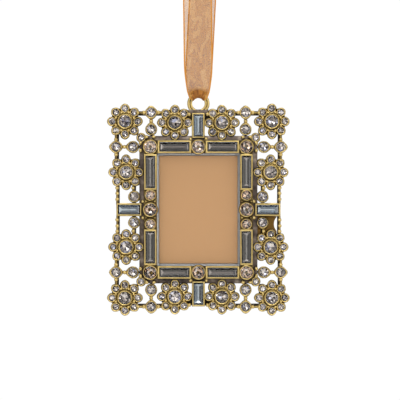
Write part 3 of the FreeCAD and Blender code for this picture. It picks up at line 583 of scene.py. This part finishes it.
def link_quarters(bm, bars=(), rods=(), beads=()):
    """Add links of the openwork to all four quarters. They are given for the top right one: a
    bar by its spans, a rod by its ends, and beads by their height and places."""
    for across, up in QUARTERS:
        for x_span, z_span in bars:
            web_bar(bm, [across * x for x in x_span], [up * z for z in z_span])
        for start, end in rods:
            rod(bm, (across * start[0], up * start[1]), (across * end[0], up * end[1]))
        for height, places in beads:
            for x, z in places:
                stamp(bm, bead, across * x, up * z, height)


spray_bm = bmesh.new()
outer_cup = cup(ROUND_STONE, ROUND_WALL, 0, ROUND_RIM, points=ROUND_POINTS)
drop_cup = cup(ROUND_STONE, ROUND_WALL, 0, ROUND_RIM, points=DROP_POINTS)
diagonal_cup = cup(PETAL_STONE, PETAL_WALL, DIAGONAL_FOOT, PETAL_RIM, steps=PETAL_STEPS)
spray_cups = (outer_cup, outer_cup, drop_cup, drop_cup, diagonal_cup)
quarter_places = [(spray_x, outer_z), (outer_x, ring_z), (spray_x, drop_z), (drop_x, ring_z),
                  (corner_x - diagonal_out, corner_z - diagonal_out)]
spray_places = {}
for side, across in SIDES.items():
    for level, up in LEVELS.items():
        places = [(across * x, up * z) for x, z in quarter_places]
        turns = (0, 90, 90 - 90 * up, -90 * across, 0)
        spray_places["%s_%s" % (level, side)] = places
        for pattern, (x, z), turn in zip(spray_cups, places, turns):
            stamp(spray_bm, pattern, x, z, turn=turn)
link_quarters(
    spray_bm,
    bars=[((row_petal_x, corner_petal_x), (outer_z - BAR_INNER, outer_z + BAR_OUTER)),
          ((outer_x - BAR_INNER, outer_x + BAR_OUTER), (side_petal_z, corner_petal_z)),
          ((spray_x - NECK_HALF, spray_x + NECK_HALF), (ledge_half[1] - NECK_LAP, outer_z)),
          ((ledge_half[0] - NECK_LAP, outer_x), (ring_z - NECK_HALF, ring_z + NECK_HALF))],
    rods=[((spray_x, drop_z + round_edge), (spray_x, outer_z - round_edge)),
          ((drop_x + round_edge, ring_z), (outer_x - round_edge, ring_z)),
          ((row_petal_x + petal_edge, outer_z), (spray_x - round_edge, outer_z)),
          ((spray_x + round_edge, outer_z), (corner_petal_x - petal_edge, outer_z)),
          ((outer_x, side_petal_z + petal_edge), (outer_x, ring_z - round_edge)),
          ((outer_x, ring_z + round_edge), (outer_x, corner_petal_z - petal_edge))],
    beads=[(BEAD_HEIGHT, [(spray_x, (drop_z + outer_z) / 2), ((drop_x + outer_x) / 2, ring_z),
                          (row_petal_x + BEADS_BY_FLOWER[0], outer_z),
                          (spray_x - round_rim - BEADS_BY_ROUND[0], outer_z),
                          (spray_x + round_rim + BEADS_BY_ROUND[1], outer_z),
                          (corner_petal_x - BEADS_BY_FLOWER[1], outer_z),
                          (outer_x, corner_petal_z - BEADS_BY_FLOWER[2]),
                          (outer_x, ring_z + round_rim + BEADS_BY_ROUND[1]),
                          (outer_x, ring_z - round_rim - BEADS_BY_ROUND[2]),
                          (outer_x, side_petal_z + BEADS_BY_FLOWER[0])]),
           (LEDGE_HEIGHT + LEDGE_BEAD_RISE,
            [(ring_x + x, ring_z + z) for x, z in LEDGE_BEAD_PLACES])])

# Side rounds and edge chains
# Beside each side's short baguette a round collet stands above and one below it, and a chain of
# beads on a bar runs from the baguette's end to the flower, along the frame's outside edge.
SIDE_GAP = 0.1
SIDE_INSET = 2.65
SIDE_POINTS = [(90, 0.12)]
SIDE_BAR_HALF = 0.65
SIDE_BEAD_SHIFT = 0.3
SIDE_BEAD_GAP = 0.85
SHORT_STONE = 7.35
SHORT_WALL = 0.6
SHORT_GAP = 0.62
SHORT_RIM = 2.8
EDGE_BAR_INSET = 0.45
CHAIN_BEADS = (3.4, 5.4, 7.25)
CHAIN_SHIFT = 0.1
CHAIN_BAR = (-0.7, 0.45)
FOOT_BAR = ((2.0, 4.2), (1.3, 3.9))
FOOT_BEAD = (3.0, 3.7)
HIGH_BEAD_RISE = 0.7
HIGH_BEAD_BESIDE = (2.45, 2.7)
HIGH_BEAD_ABOVE = (2.6, 2.55)
side_round_x = side_x - SIDE_INSET
side_round_z = BAGUETTE / 2 + SHORT_WALL + SIDE_GAP + round_rim
side_end = side_z - petal_slant
short_half = (SHORT_STONE / 2 + SHORT_WALL, BAGUETTE / 2 + SHORT_WALL)
short_x, short_z = [ring + BAND_WIDTH / 2 + SHORT_GAP + short_half[0] for ring in (ring_x, ring_z)]
edge_x = short_x + short_half[0] - EDGE_BAR_INSET
chain_x = edge_x + CHAIN_SHIFT
link_x = side_round_x + SIDE_BEAD_SHIFT
side_cup = cup(ROUND_STONE, ROUND_WALL, 0, ROUND_RIM, points=SIDE_POINTS)
side_places = {side: [(across * side_round_x, up * side_round_z) for up in LEVELS.values()]
               for side, across in SIDES.items()}
for places in side_places.values():
    for x, z in places:
        stamp(spray_bm, side_cup, x, z, turn=0 if z > 0 else 180)
link_quarters(
    spray_bm,
    bars=[([edge_x + shift for shift in CHAIN_BAR], (0, side_end)),
          ((side_round_x - SIDE_BAR_HALF, side_round_x + SIDE_BAR_HALF), (0, side_end)),
          (FOOT_BAR[0], [short_z + rise for rise in FOOT_BAR[1]])],
    rods=[((chain_x, BAGUETTE / 2), (chain_x, side_end - petal_edge)),
          ((side_round_x, side_round_z + round_edge), (link_x, side_end - petal_edge))],
    beads=[(BEAD_HEIGHT, [(chain_x, z) for z in CHAIN_BEADS]
            + [(link_x, side_round_z + round_rim + SIDE_BEAD_GAP),
               (FOOT_BEAD[0], short_z + FOOT_BEAD[1])]),
           (LEDGE_HEIGHT + HIGH_BEAD_RISE,
            [(ring_x + HIGH_BEAD_BESIDE[0], HIGH_BEAD_BESIDE[1]),
             (HIGH_BEAD_ABOVE[0], ring_z + HIGH_BEAD_ABOVE[1])])])
finish_piece("sprays", spray_bm, [gold_over_web, blackened], uneven=UNEVEN)

# Short baguette settings
# One stands at the middle of each side, across the border, in a walled box of its own. The top
# one carries the foot of the hanging ring.
gold_over_short = antiqued_gold("antiqued_gold_over_short", 1.7, 2.75)
short_baguettes = {"top": (0, short_z, True), "bottom": (0, -short_z, True),
                   "left": (-short_x, 0, False), "right": (short_x, 0, False)}
short_bm = bmesh.new()
for x, z, upright in short_baguettes.values():
    outer_half = short_half[::-1] if upright else short_half
    seat_half = [half - SHORT_WALL for half in outer_half]
    oblong_setting(short_bm, x, z, outer_half, seat_half, 0, SHORT_RIM)
finish_piece("short_settings", short_bm, [gold_over_short, blackened],
             uneven=UNEVEN)

# Hanging ring and its foot
# A round eye with two ridges and a dark groove between them, cast with a small flat foot on top
# of the short baguette's box. The ribbon goes through it.
RING_HOLE = 2.07
RING_OUTER = 3.73
RING_BACK = 0.4
RING_THICKNESS = 1.6
RING_SINK = 1.75
RING_ROUND = 0.3
RING_STEPS = 56
INNER_RIDGE = 0.38
OUTER_RIDGE = 0.45
OUTER_RIDGE_DROP = 0.05
GROOVE = 0.75
FOOT_HALF = 3.4
FOOT_HEIGHT = 1.1
foot_top = short_z + short_half[0] + FOOT_HEIGHT
ring_middle_z = foot_top + RING_OUTER - RING_SINK
ring_front = RING_BACK + RING_THICKNESS


def arc(middle, radius, start, end, count):
    """Points along an arc, from one angle to another in degrees."""
    steps = [polar(radius, start + (end - start) * index / (count - 1)) for index in range(count)]
    return [(middle[0] + x, middle[1] + y) for x, y in steps]


ring_profile = (arc((RING_HOLE + INNER_RIDGE, ring_front - INNER_RIDGE), INNER_RIDGE, 180, 20, 7)
                + [(RING_HOLE + 2 * INNER_RIDGE, ring_front - GROOVE)]
                + arc((RING_OUTER - OUTER_RIDGE, ring_front - OUTER_RIDGE_DROP - OUTER_RIDGE),
                      OUTER_RIDGE, 160, 0, 7)
                + arc((RING_OUTER - RING_ROUND, RING_BACK + RING_ROUND), RING_ROUND, 0, -90, 4)
                + arc((RING_HOLE + RING_ROUND, RING_BACK + RING_ROUND), RING_ROUND, -90, -180, 4))
ring_bm = lathe(ring_profile + ring_profile[:1], RING_STEPS)
bmesh.ops.translate(ring_bm, vec=(0, ring_middle_z, 0), verts=ring_bm.verts)
finish_piece("hanging_ring", ring_bm,
             [antiqued_gold("antiqued_gold_over_groove", 1.3, 1.95)])
foot_bm = bmesh.new()
web_bar(foot_bm, (-FOOT_HALF, FOOT_HALF), (foot_top - FOOT_HEIGHT - SHORT_WALL, foot_top),
        ring_front)
finish_piece("ring_foot", foot_bm, [blackened_metal("worn_grey_zinc", 1.15)])

# Round stones
# Clear glass rhinestones, machine cut with a flat table, eight kites and eight pavilion faces,
# and foiled behind. Old foil differs in tone from facet to facet, and each stone lies a little
# tilted in its collet, so no two look alike. Some facets of the clear stones get a violet foil,
# which is a painted glint in place of the coloured fire of the glass.
ROUND_CUT = ((0.55, 0.3, 8, 0), (0.8, 0.19, 8, 22.5), (1.0, 0.03, 16, 0), (1.0, -0.03, 16, 0),
             (0.58, -0.4, 8, 22.5))
CULET = -0.54
FOILED_BELOW = -0.1
GIRDLE_BELOW_RIM = 0.12
TILT = 7.0
# Tone 5 is the violet foil: a painted glint of coloured fire on some facets.
CLEAR_TONES = (1, 1, 1, 1, 2, 2, 2, 3, 3, 5)
WARM_TONES = (4, 4, 4, 1, 2, 3)
dice = random.Random(7)


def cut_glass(name, text):
    """Polished lead glass: clear, bright and sharp at the facets."""
    material, tree = new_material(name)
    principled(tree, {"Base Color": colour(text), "Roughness": 0.0, "IOR": 1.6,
                      "Transmission Weight": 1.0})
    return material


def foil(name, text, spread, roughness=0.04):
    """The silvered back of a stone: a mirror with slight clouds, seen through the glass."""
    material, tree = new_material(name)
    place = place_on(tree)
    shade = remap(tree, mottle(tree, place, 0.8, 2.0), (0.3, 0.7), (1 - spread, 1.0))
    tint = node(tree, "MixRGB", {"Fac": 1.0, "Color1": colour(text), "Color2": shade},
                blend_type="MULTIPLY")
    principled(tree, {"Base Color": tint, "Metallic": 1.0, "Roughness": roughness})
    return material


def hull(bm):
    """Wrap the points in flat facets, and mark those below the girdle as foiled."""
    bmesh.ops.convex_hull(bm, input=bm.verts, use_existing_faces=False)
    bmesh.ops.delete(bm, geom=[vert for vert in bm.verts if not vert.link_faces], context="VERTS")
    bmesh.ops.dissolve_limit(bm, angle_limit=math.radians(0.5), verts=bm.verts, edges=bm.edges)
    bmesh.ops.recalc_face_normals(bm, faces=bm.faces)
    for face in bm.faces:
        face.material_index = 1 if face.normal.z < FOILED_BELOW else 0
    return pattern_of(bm)


def round_stone(radius):
    """A pattern of a round stone with its girdle at height 0."""
    bm = bmesh.new()
    for share, height, sides, turn in ROUND_CUT:
        place = Matrix.Translation((0, 0, height * radius))
        bmesh.ops.create_circle(bm, segments=sides, radius=share * radius,
                                matrix=place @ Matrix.Rotation(math.radians(turn), 4, "Z"))
    bmesh.ops.create_vert(bm, co=(0, 0, CULET * radius))
    return hull(bm)


def round_stones(node_name, stones, tones=CLEAR_TONES):
    """The stones of one node as one piece, each given by its pattern, place and rim. Chance turns
    and tilts each stone in its collet, and gives each foiled facet one of the tones."""
    bm = bmesh.new()
    for pattern, x, z, rim in stones:
        lean_axis, lean, spin = [math.radians(dice.uniform(0, most)) for most in (360, TILT, 360)]
        stone = pattern.copy()
        for polygon in stone.polygons:
            if polygon.material_index == 1:
                polygon.material_index = dice.choice(tones)
        put(bm, stone, Matrix.Translation((x, z, rim - GIRDLE_BELOW_RIM))
            @ Matrix.Rotation(lean_axis, 4, "Z") @ Matrix.Rotation(lean, 4, "X")
            @ Matrix.Rotation(spin, 4, "Z"))
        bpy.data.meshes.remove(stone)
    piece = finish_piece(node_name + "_cut", bm, stone_finish, smooth=0)
    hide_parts(node_name)


grey_foil = foil("grey_foil", "#A9A3A0", 0.3)
dulled_foil_and_painted_streak = foil("dulled_foil_and_painted_streak", "#746D6A", 0.3)
# The violet foil is a painted glint, in place of the coloured fire of the glass.
stone_finish = [cut_glass("clear_cut_glass", "#F7F4F2"), foil("silver_foil", "#DEDAD6", 0.2),
                grey_foil, dulled_foil_and_painted_streak, foil("champagne_foil", "#D9C2AE", 0.3),
                foil("violet_painted_glint_foil", "#BCC2DC", 0.2)]
middle_stone = round_stone(MIDDLE_STONE)
petal_stone = round_stone(PETAL_STONE)
large_stone = round_stone(LARGE_STONE)
spacer_stone = round_stone(SPACER_STONE)
outer_stone = round_stone(ROUND_STONE)
for name, (x, z) in flower_places.items():
    petals = [polar(petal_ring, turn) for turn in PETAL_TURNS]
    round_stones("centre_stone_" + name, [(middle_stone, x, z, MIDDLE_RIM)])
    round_stones("petal_stones_" + name,
                 [(petal_stone, x + beside, z + above, PETAL_RIM) for beside, above in petals])
for name, (x, z) in large_places.items():
    round_stones("band_stone_" + name, [(large_stone, x, z, BAND_RIM)], WARM_TONES)
for side, across in SIDES.items():
    round_stones("spacer_stones_" + side, [(spacer_stone, across * ring_x, up * spacer_z, BAND_RIM)
                                           for up in LEVELS.values()], WARM_TONES)
    round_stones("side_stones_" + side,
                 [(outer_stone, x, z, ROUND_RIM) for x, z in side_places[side]])
for name, places in spray_places.items():
    round_stones("spray_stones_" + name, [(outer_stone, x, z, ROUND_RIM) for x, z in places[:4]]
                 + [(petal_stone, x, z, PETAL_RIM) for x, z in places[4:]])

# Baguette stones
# Oblong step-cut stones, foiled behind: eight long ones of smoky glass and four short ones of
# pale blue glass. Each step behind is given a foil tone of its own, which paints light and shade
# into the stone: the hipped ends are painted highlights as light wedges, and the keel a painted
# streak of light between darker stripes. Upright long stones get a lighter first step and keel
# than level ones, and upright short stones a lighter first step: a painted difference of light
# by how each stone stands.
BAGUETTE_CUT = ((0.7, 0.5), (0.3, 0.3), (0, 0.04), (0, -0.04), (0.6, -0.24), (1.35, -0.38))
END_SLOPE = 0.1
FIRST_STEP_SLOPE = -0.97
KEEL_SLOPE = -0.99


def baguette_stone(half_x, half_y):
    """A pattern of a step-cut stone with its girdle at height 0. Its materials are the glass, the
    foil of the second step, of the ends, of the first step and of the keel."""
    bm = bmesh.new()
    for inset, height in BAGUETTE_CUT:
        place = (Matrix.Translation((0, 0, height))
                 @ Matrix.Diagonal((half_x - inset, half_y - inset, 1, 1))
                 @ Matrix.Rotation(math.radians(45), 4, "Z"))
        bmesh.ops.create_circle(bm, segments=4, radius=math.sqrt(2), matrix=place)
    mesh = hull(bm)
    lengthwise = 0 if half_x > half_y else 1
    for polygon in mesh.polygons:
        if polygon.material_index == 0:
            continue
        if abs(polygon.normal[lengthwise]) > END_SLOPE:
            polygon.material_index = 2
        elif polygon.normal.z > FIRST_STEP_SLOPE:
            polygon.material_index = 3
        elif polygon.normal.z < KEEL_SLOPE:
            polygon.material_index = 4
    return mesh


def baguette_piece(node_name, x, z, half_x, half_z, rim, materials):
    """One baguette stone, laid level in its box."""
    bm = bmesh.new()
    stamp(bm, baguette_stone(half_x, half_z), x, z, rim - GIRDLE_BELOW_RIM)
    piece = finish_piece(node_name + "_cut", bm, materials, smooth=0)
    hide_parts(node_name)


smoky_glass = cut_glass("smoky_cut_glass", "#E0E0E0")
# The light smoke foil and the bright foil are painted highlights for the wedges and streaks of the
# baguettes.
smoke_foil = foil("smoke_foil", "#3F3D3B", 0.3, 0.12)
painted_highlight_smoke_foil = foil("smoke_foil_painted_highlight", "#92908D", 0.3, 0.12)
pale_glass = cut_glass("pale_blue_cut_glass", "#E9EEF2")
pale_foil = foil("pale_foil", "#606A74", 0.2, 0.12)
painted_highlight_pale_foil = foil("painted_highlight_pale_foil", "#B4BCC2", 0.2, 0.12)
# Upright long stones get the light smoke foil on the first step and keel, level ones the smoke and
# dulled foils: painted light by how each stone stands. The grey foil on the ends is a painted
# highlight.
for name, (x, z, half_x, half_z) in long_baguettes.items():
    streak, keel = (painted_highlight_smoke_foil, painted_highlight_smoke_foil) if half_z > half_x else (smoke_foil, dulled_foil_and_painted_streak)
    baguette_piece(name, x, z, half_x, half_z, BAND_RIM,
                   [smoky_glass, smoke_foil, grey_foil, streak, keel])
# The ends and keel of the short stones, and the first step of the upright ones, get the bright foil:
# painted highlights.
for name, (x, z, upright) in short_baguettes.items():
    half = (BAGUETTE / 2, SHORT_STONE / 2) if upright else (SHORT_STONE / 2, BAGUETTE / 2)
    baguette_piece("short_baguette_" + name, x, z, half[0], half[1], SHORT_RIM,
                   [pale_glass, pale_foil, painted_highlight_pale_foil, painted_highlight_pale_foil if upright else pale_foil,
                    painted_highlight_pale_foil])

# Pane, picture card and tray
# A thin clear pane lies under the band's lip, over a plain tan card that sits in a pressed steel
# tray. The tray's bevelled edge shows as a silver line about the card.


def plain_card(name):
    """Uncoated tan card stock: flat, soft and even, with a trace of fibre."""
    material, tree = new_material(name)
    place = place_on(tree)
    fibre = mottle(tree, place, 0.4, 4.0)
    principled(tree, {"Base Color": ramp(tree, fibre, [(0.3, "#C79B6F"), (0.7, "#C99E72")]),
                      "Roughness": 0.9, "Specular IOR Level": 0.1,
                      "Normal": bump(tree, fibre, 0.04, 0.02)})
    return material


def brushed(name, stops, roughness, line_width, along):
    """Metal brushed along one direction: fine parallel lines that widen its highlights."""
    material, tree = new_material(name)
    place = place_on(tree)
    lines = mottle(tree, node(tree, "Mapping", {"Vector": place, "Scale": along}), line_width, 3.0)
    principled(tree, {"Base Color": ramp(tree, lines, stops), "Metallic": 1.0,
                      "Roughness": roughness, "Normal": bump(tree, lines, 0.2, 0.02)})
    return material


def clear_pane(name):
    """Thin clear glass that shows only as a faint gloss over the card."""
    material, tree = new_material(name)
    principled(tree, {"Base Color": colour("#4A5252"), "Roughness": 0.05, "Alpha": 0.05})
    return material


def dress(node_name, material):
    """Give a node that keeps its own solid its finish."""
    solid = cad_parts[node_name]
    solid.data.materials.clear()
    solid.data.materials.append(material)


dress("picture_card", plain_card("tan_card_stock"))
dress("backing_tray", brushed("satin_steel", [(0.3, "#A6A8AA"), (0.7, "#C0C2C3")], 0.5, 0.2,
                              (1, 1, 0.1)))
dress("picture_pane", clear_pane("clear_glass"))

# Back cover
# A thin brass plate with rounded corners that presses in from behind. Its thumb tab reaches past
# the ledge on one side and shows through the openwork, with a round notch for the thumb.
# The brass tone is darker than bare brass: its own dull tone with a painted shade of the tab's place
# behind the openwork.
dress("back_cover", brushed("brushed_brass_painted_shade", [(0.3, "#5F4722"), (0.7, "#7B5E30")], 0.34, 0.15,
                            (0.05, 1, 1)))

# Ribbon loop
# A loop of sheer nylon organza with woven satin edges, pushed through the ring. It is gathered
# where it wraps the ring and opens to its full width above it.
RIBBON = 10.0
RING_TUBE = 2.9
WRAP = 1.12
WRAP_TURN = (40, -220)
WRAP_STEPS = 40
WRAP_SPREAD = 62.0
LOOP_HEIGHT = 59.0
LOOP_TOP = 3.8
RISE_STEPS = 48
TOP_STEPS = 24
ACROSS = 32
GATHER = 12.0
OPENING_RATE = 4.5
RISE_RATE = 6.0
PLEAT = 0.16
PLEAT_TURN = 8.5
PLEAT_FADE = 2.2
GATHERED_SHARE = 0.66
STRANDS_PART = (9.0, 34.0)
FRONT_STRAND = (-0.3, 0.3, 0.6)
BACK_STRAND = (1.35, 0.25, 2.0)
WAVE = 0.35
WAVE_ACROSS = 2.0
WAVE_ALONG = 0.09
ring_y = (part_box("ribbon_loop")[0].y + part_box("ribbon_loop")[1].y) / 2 / MM


def ribbon_line():
    """The loop in side view, as depth, height above the ring's middle, and how far each point is
    out of the wrap, from 0 at the ring to 1 at the top."""
    wrap = arc((0, RING_TUBE), WRAP, WRAP_TURN[0], WRAP_TURN[1], WRAP_STEPS)
    strands = []
    for (foot_depth, foot_height), side in ((wrap[-1], -1), (wrap[0], 1)):
        shares = [index / RISE_STEPS for index in range(1, RISE_STEPS + 1)]
        strands.append([(foot_depth + (side * LOOP_TOP - foot_depth) * math.sin(share * math.pi / 2),
                         foot_height + (LOOP_HEIGHT - foot_height) * share, share)
                        for share in shares])
    over = arc((0, LOOP_HEIGHT), LOOP_TOP, 180, 0, TOP_STEPS)[1:-1]
    return ([(depth, height, 0.0) for depth, height in wrap] + strands[0]
            + [(depth, height, 1.0) for depth, height in over] + strands[1][::-1])


line = ribbon_line()
count = len(line)
lengths = [0.0]
for (d0, h0, _), (d1, h1, _) in zip(line, line[1:] + line[:1]):
    lengths.append(lengths[-1] + math.hypot(d1 - d0, h1 - h0))
ribbon_length = lengths[-1]


def ribbon_point(step, across):
    """Where a point of the ribbon lies: step counts along the loop, across runs -1 to 1. A strand
    has its shift to the side, the share of the width it opens by, and the phase of its pleats."""
    depth, height, share = line[step % count]
    above = max(0.0, (height - RING_TUBE) / GATHER)
    open_share = 1 - math.exp(-OPENING_RATE * above * above) if share > 0 else 0.0
    rise_share = 1 - math.exp(-RISE_RATE * above)
    shift, opens, phase = FRONT_STRAND if depth < 0 else BACK_STRAND
    apart = (height - STRANDS_PART[0]) / (STRANDS_PART[1] - STRANDS_PART[0])
    swing = math.radians(WRAP_SPREAD) * across
    wrapped_x, wrapped_z = height * math.sin(swing), height * math.cos(swing)
    flat_x = (RIBBON / 2 * across * (GATHERED_SHARE + opens * open_share)
              + shift * min(1.0, max(0.0, apart)))
    pleat = PLEAT * (1 + math.cos(across * PLEAT_TURN + phase)) * math.exp(-PLEAT_FADE * above)
    wave = WAVE * math.sin(across * WAVE_ACROSS + height * WAVE_ALONG) * open_share
    out = 1 if depth > 0 else -1
    return Vector((wrapped_x + (flat_x - wrapped_x) * rise_share,
                   ring_y + depth + out * pleat * min(1.0, abs(depth)) + wave,
                   ring_middle_z + wrapped_z + (height - wrapped_z) * rise_share)) * MM


ribbon_bm = bmesh.new()
uv_layer = ribbon_bm.loops.layers.uv.new("ribbon")
bmesh.ops.create_grid(ribbon_bm, x_segments=ACROSS, y_segments=count, size=1, calc_uvs=True)
for vert in ribbon_bm.verts:
    step_along = round((vert.co.y + 1) / 2 * count)
    for loop in vert.link_loops:
        loop[uv_layer].uv = ((vert.co.x + 1) / 2, lengths[step_along] / ribbon_length)
    vert.co = ribbon_point(step_along, vert.co.x)
bmesh.ops.remove_doubles(ribbon_bm, verts=ribbon_bm.verts, dist=0.001 * MM)


def organza(name):
    """Sheer plain weave of fine nylon with a satin edge: light shows through the middle, and the
    dense edges catch it as bright lines. The threads are drawn coarse enough to show. Where it is
    gathered about the ring, under an arched line, it is opaque and painted dark brown: denser cloth
    with a painted shade of the fold."""
    material, tree = new_material(name)
    uv = node(tree, "UVMap", uv_map="ribbon")
    split = node(tree, "SeparateXYZ", {"Vector": uv})
    sized = node(tree, "Mapping", {"Vector": uv, "Scale": (RIBBON, ribbon_length, 1)})
    reach = maths(tree, "ABSOLUTE", maths(tree, "SUBTRACT", split.outputs["X"], 0.5))
    edge = remap(tree, reach, (0.445, 0.455))
    weft, warp = [node(tree, "TexWave", {"Vector": sized, "Scale": 1.1, "Distortion": 0.4},
                       bands_direction=direction).outputs["Fac"] for direction in "YX"]
    weave = maths(tree, "ADD", weft, warp)
    dense = maths(tree, "MAXIMUM", remap(tree, weave, (0.0, 2.0), (0.54, 0.7)), edge)
    # The gathered zone about the ring, with an arched top: the cloth is denser there, and its dark
    # colour is painted shade of the fold.
    arch = maths(tree, "MULTIPLY_ADD", maths(tree, "POWER", reach, 2.0), 0.1, split.outputs["Y"])
    behind = remap(tree, split.outputs["Y"], (0.965, 0.995))
    gathered_and_fold_shade = maths(tree, "MAXIMUM", remap(tree, arch, (0.051, 0.046)), behind)
    slanted = node(tree, "Mapping", {"Vector": sized, "Rotation": (0, 0, 0.5),
                                     "Scale": (0.8, 0.4, 1)})
    creases = node(tree, "TexNoise", {"Vector": slanted, "Scale": 0.5, "Detail": 3.0,
                                      "Distortion": 1.2})
    grain = node(tree, "TexNoise", {"Vector": sized, "Scale": 3.2, "Detail": 4.0})
    mottled = node(tree, "Mix", {0: 0.6, 2: creases, 3: grain})
    field = ramp(tree, mottled, [(0.34, "#9E631C"), (0.5, "#BE8435"), (0.66, "#D8AE72")])
    lines = ramp(tree, creases, [(0.46, "#FFFFFF"), (0.5, "#CDB591"), (0.53, "#FFFFFF")])
    crossed = node(tree, "MixRGB", {"Fac": 1.0, "Color1": field, "Color2": lines},
                   blend_type="MULTIPLY")
    woven = node(tree, "MixRGB", {"Fac": edge, "Color1": crossed, "Color2": colour("#C98736")})
    # Dark brown streaks in the gathered zone: painted shade of the fold over the ring.
    streaked = node(tree, "Mapping", {"Vector": sized, "Scale": (1.6, 0.25, 1)})
    fold_shade_streaks = node(tree, "TexNoise", {"Vector": streaked, "Scale": 1.0, "Detail": 3.0})
    fold_painted_shade = ramp(tree, fold_shade_streaks, [(0.35, "#6E4218"), (0.5, "#8F5A24"), (0.65, "#A8702E")])
    tint = node(tree, "MixRGB", {"Fac": gathered_and_fold_shade, "Color1": woven, "Color2": fold_painted_shade})
    principled(tree, {"Base Color": tint, "Roughness": 0.6, "Specular IOR Level": 0.2,
                      "Alpha": maths(tree, "MAXIMUM", dense, gathered_and_fold_shade),
                      "Normal": bump(tree, weave, 0.2, 0.05)})
    return material


ribbon = finish_piece("ribbon", ribbon_bm, [organza("nylon_organza")], smooth=60,
                      matrix=Matrix.Identity(4))
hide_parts("ribbon_loop")

# Floor, light and surroundings
# A pale floor far below the hanging ornament, a white room, and soft lamps above it and on all
# sides, so that the facets have bright and dark things to mirror.
FLOOR_DROP = 90 * MM
FLOOR_SIZE = 0.3
floor_bm = bmesh.new()
bmesh.ops.create_grid(floor_bm, x_segments=1, y_segments=1, size=FLOOR_SIZE,
                      matrix=Matrix.Translation((0, 0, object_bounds()[0].z - FLOOR_DROP)))
floor = bpy.data.objects.new("floor", pattern_of(floor_bm, "floor"))
bpy.context.scene.collection.objects.link(floor)
floor_material, floor_tree = new_material("white_paper_floor")
principled(floor_tree, {"Base Color": colour("#F2F2F2"), "Roughness": 0.8})
floor.data.materials.append(floor_material)

LAMPS = (("key", (-0.55, -0.6, 0.75), 0.5, 2.2), ("fill", (0.75, -0.45, 0.2), 0.45, 0.9),
         ("top", (0.1, -0.1, 0.9), 0.6, 1.8), ("front", (0.1, -0.9, 0.4), 0.3, 1.6),
         ("back", (0.3, 0.9, 0.35), 0.9, 4.0))
for name, place, size, power in LAMPS:
    lamp_data = bpy.data.lights.new(name, "AREA")
    lamp_data.size = size
    lamp_data.energy = power
    lamp = bpy.data.objects.new(name, lamp_data)
    lamp.location = place
    lamp.rotation_euler = (-Vector(place)).to_track_quat("-Z", "Y").to_euler()
    lamp.visible_camera = False
    bpy.context.scene.collection.objects.link(lamp)

room = bpy.data.worlds.new("white_room")
room.use_nodes = True
room_tree = room.node_tree
room_tree.nodes.clear()
seen = node(room_tree, "LightPath").outputs["Is Camera Ray"]
backdrop = node(room_tree, "Background", {"Color": colour("#FFFFFF"), "Strength": 1.02})
direction = node(room_tree, "TexCoord").outputs["Generated"]
patches = node(room_tree, "TexNoise", {"Vector": direction, "Scale": 3.2, "Detail": 1.5})
brightness = ramp(room_tree, patches, [(0.4, "#121113"), (0.44, "#504D6A"), (0.47, "#B0A8A4"),
                                       (0.53, "#FFFCF6")])
surroundings = node(room_tree, "Background", {"Color": brightness, "Strength": 1.3})
both = node(room_tree, "MixShader", {0: seen, 1: surroundings, 2: backdrop})
node(room_tree, "OutputWorld", {"Surface": both})
bpy.context.scene.world = room
bpy.context.scene.view_settings.view_transform = "Standard"
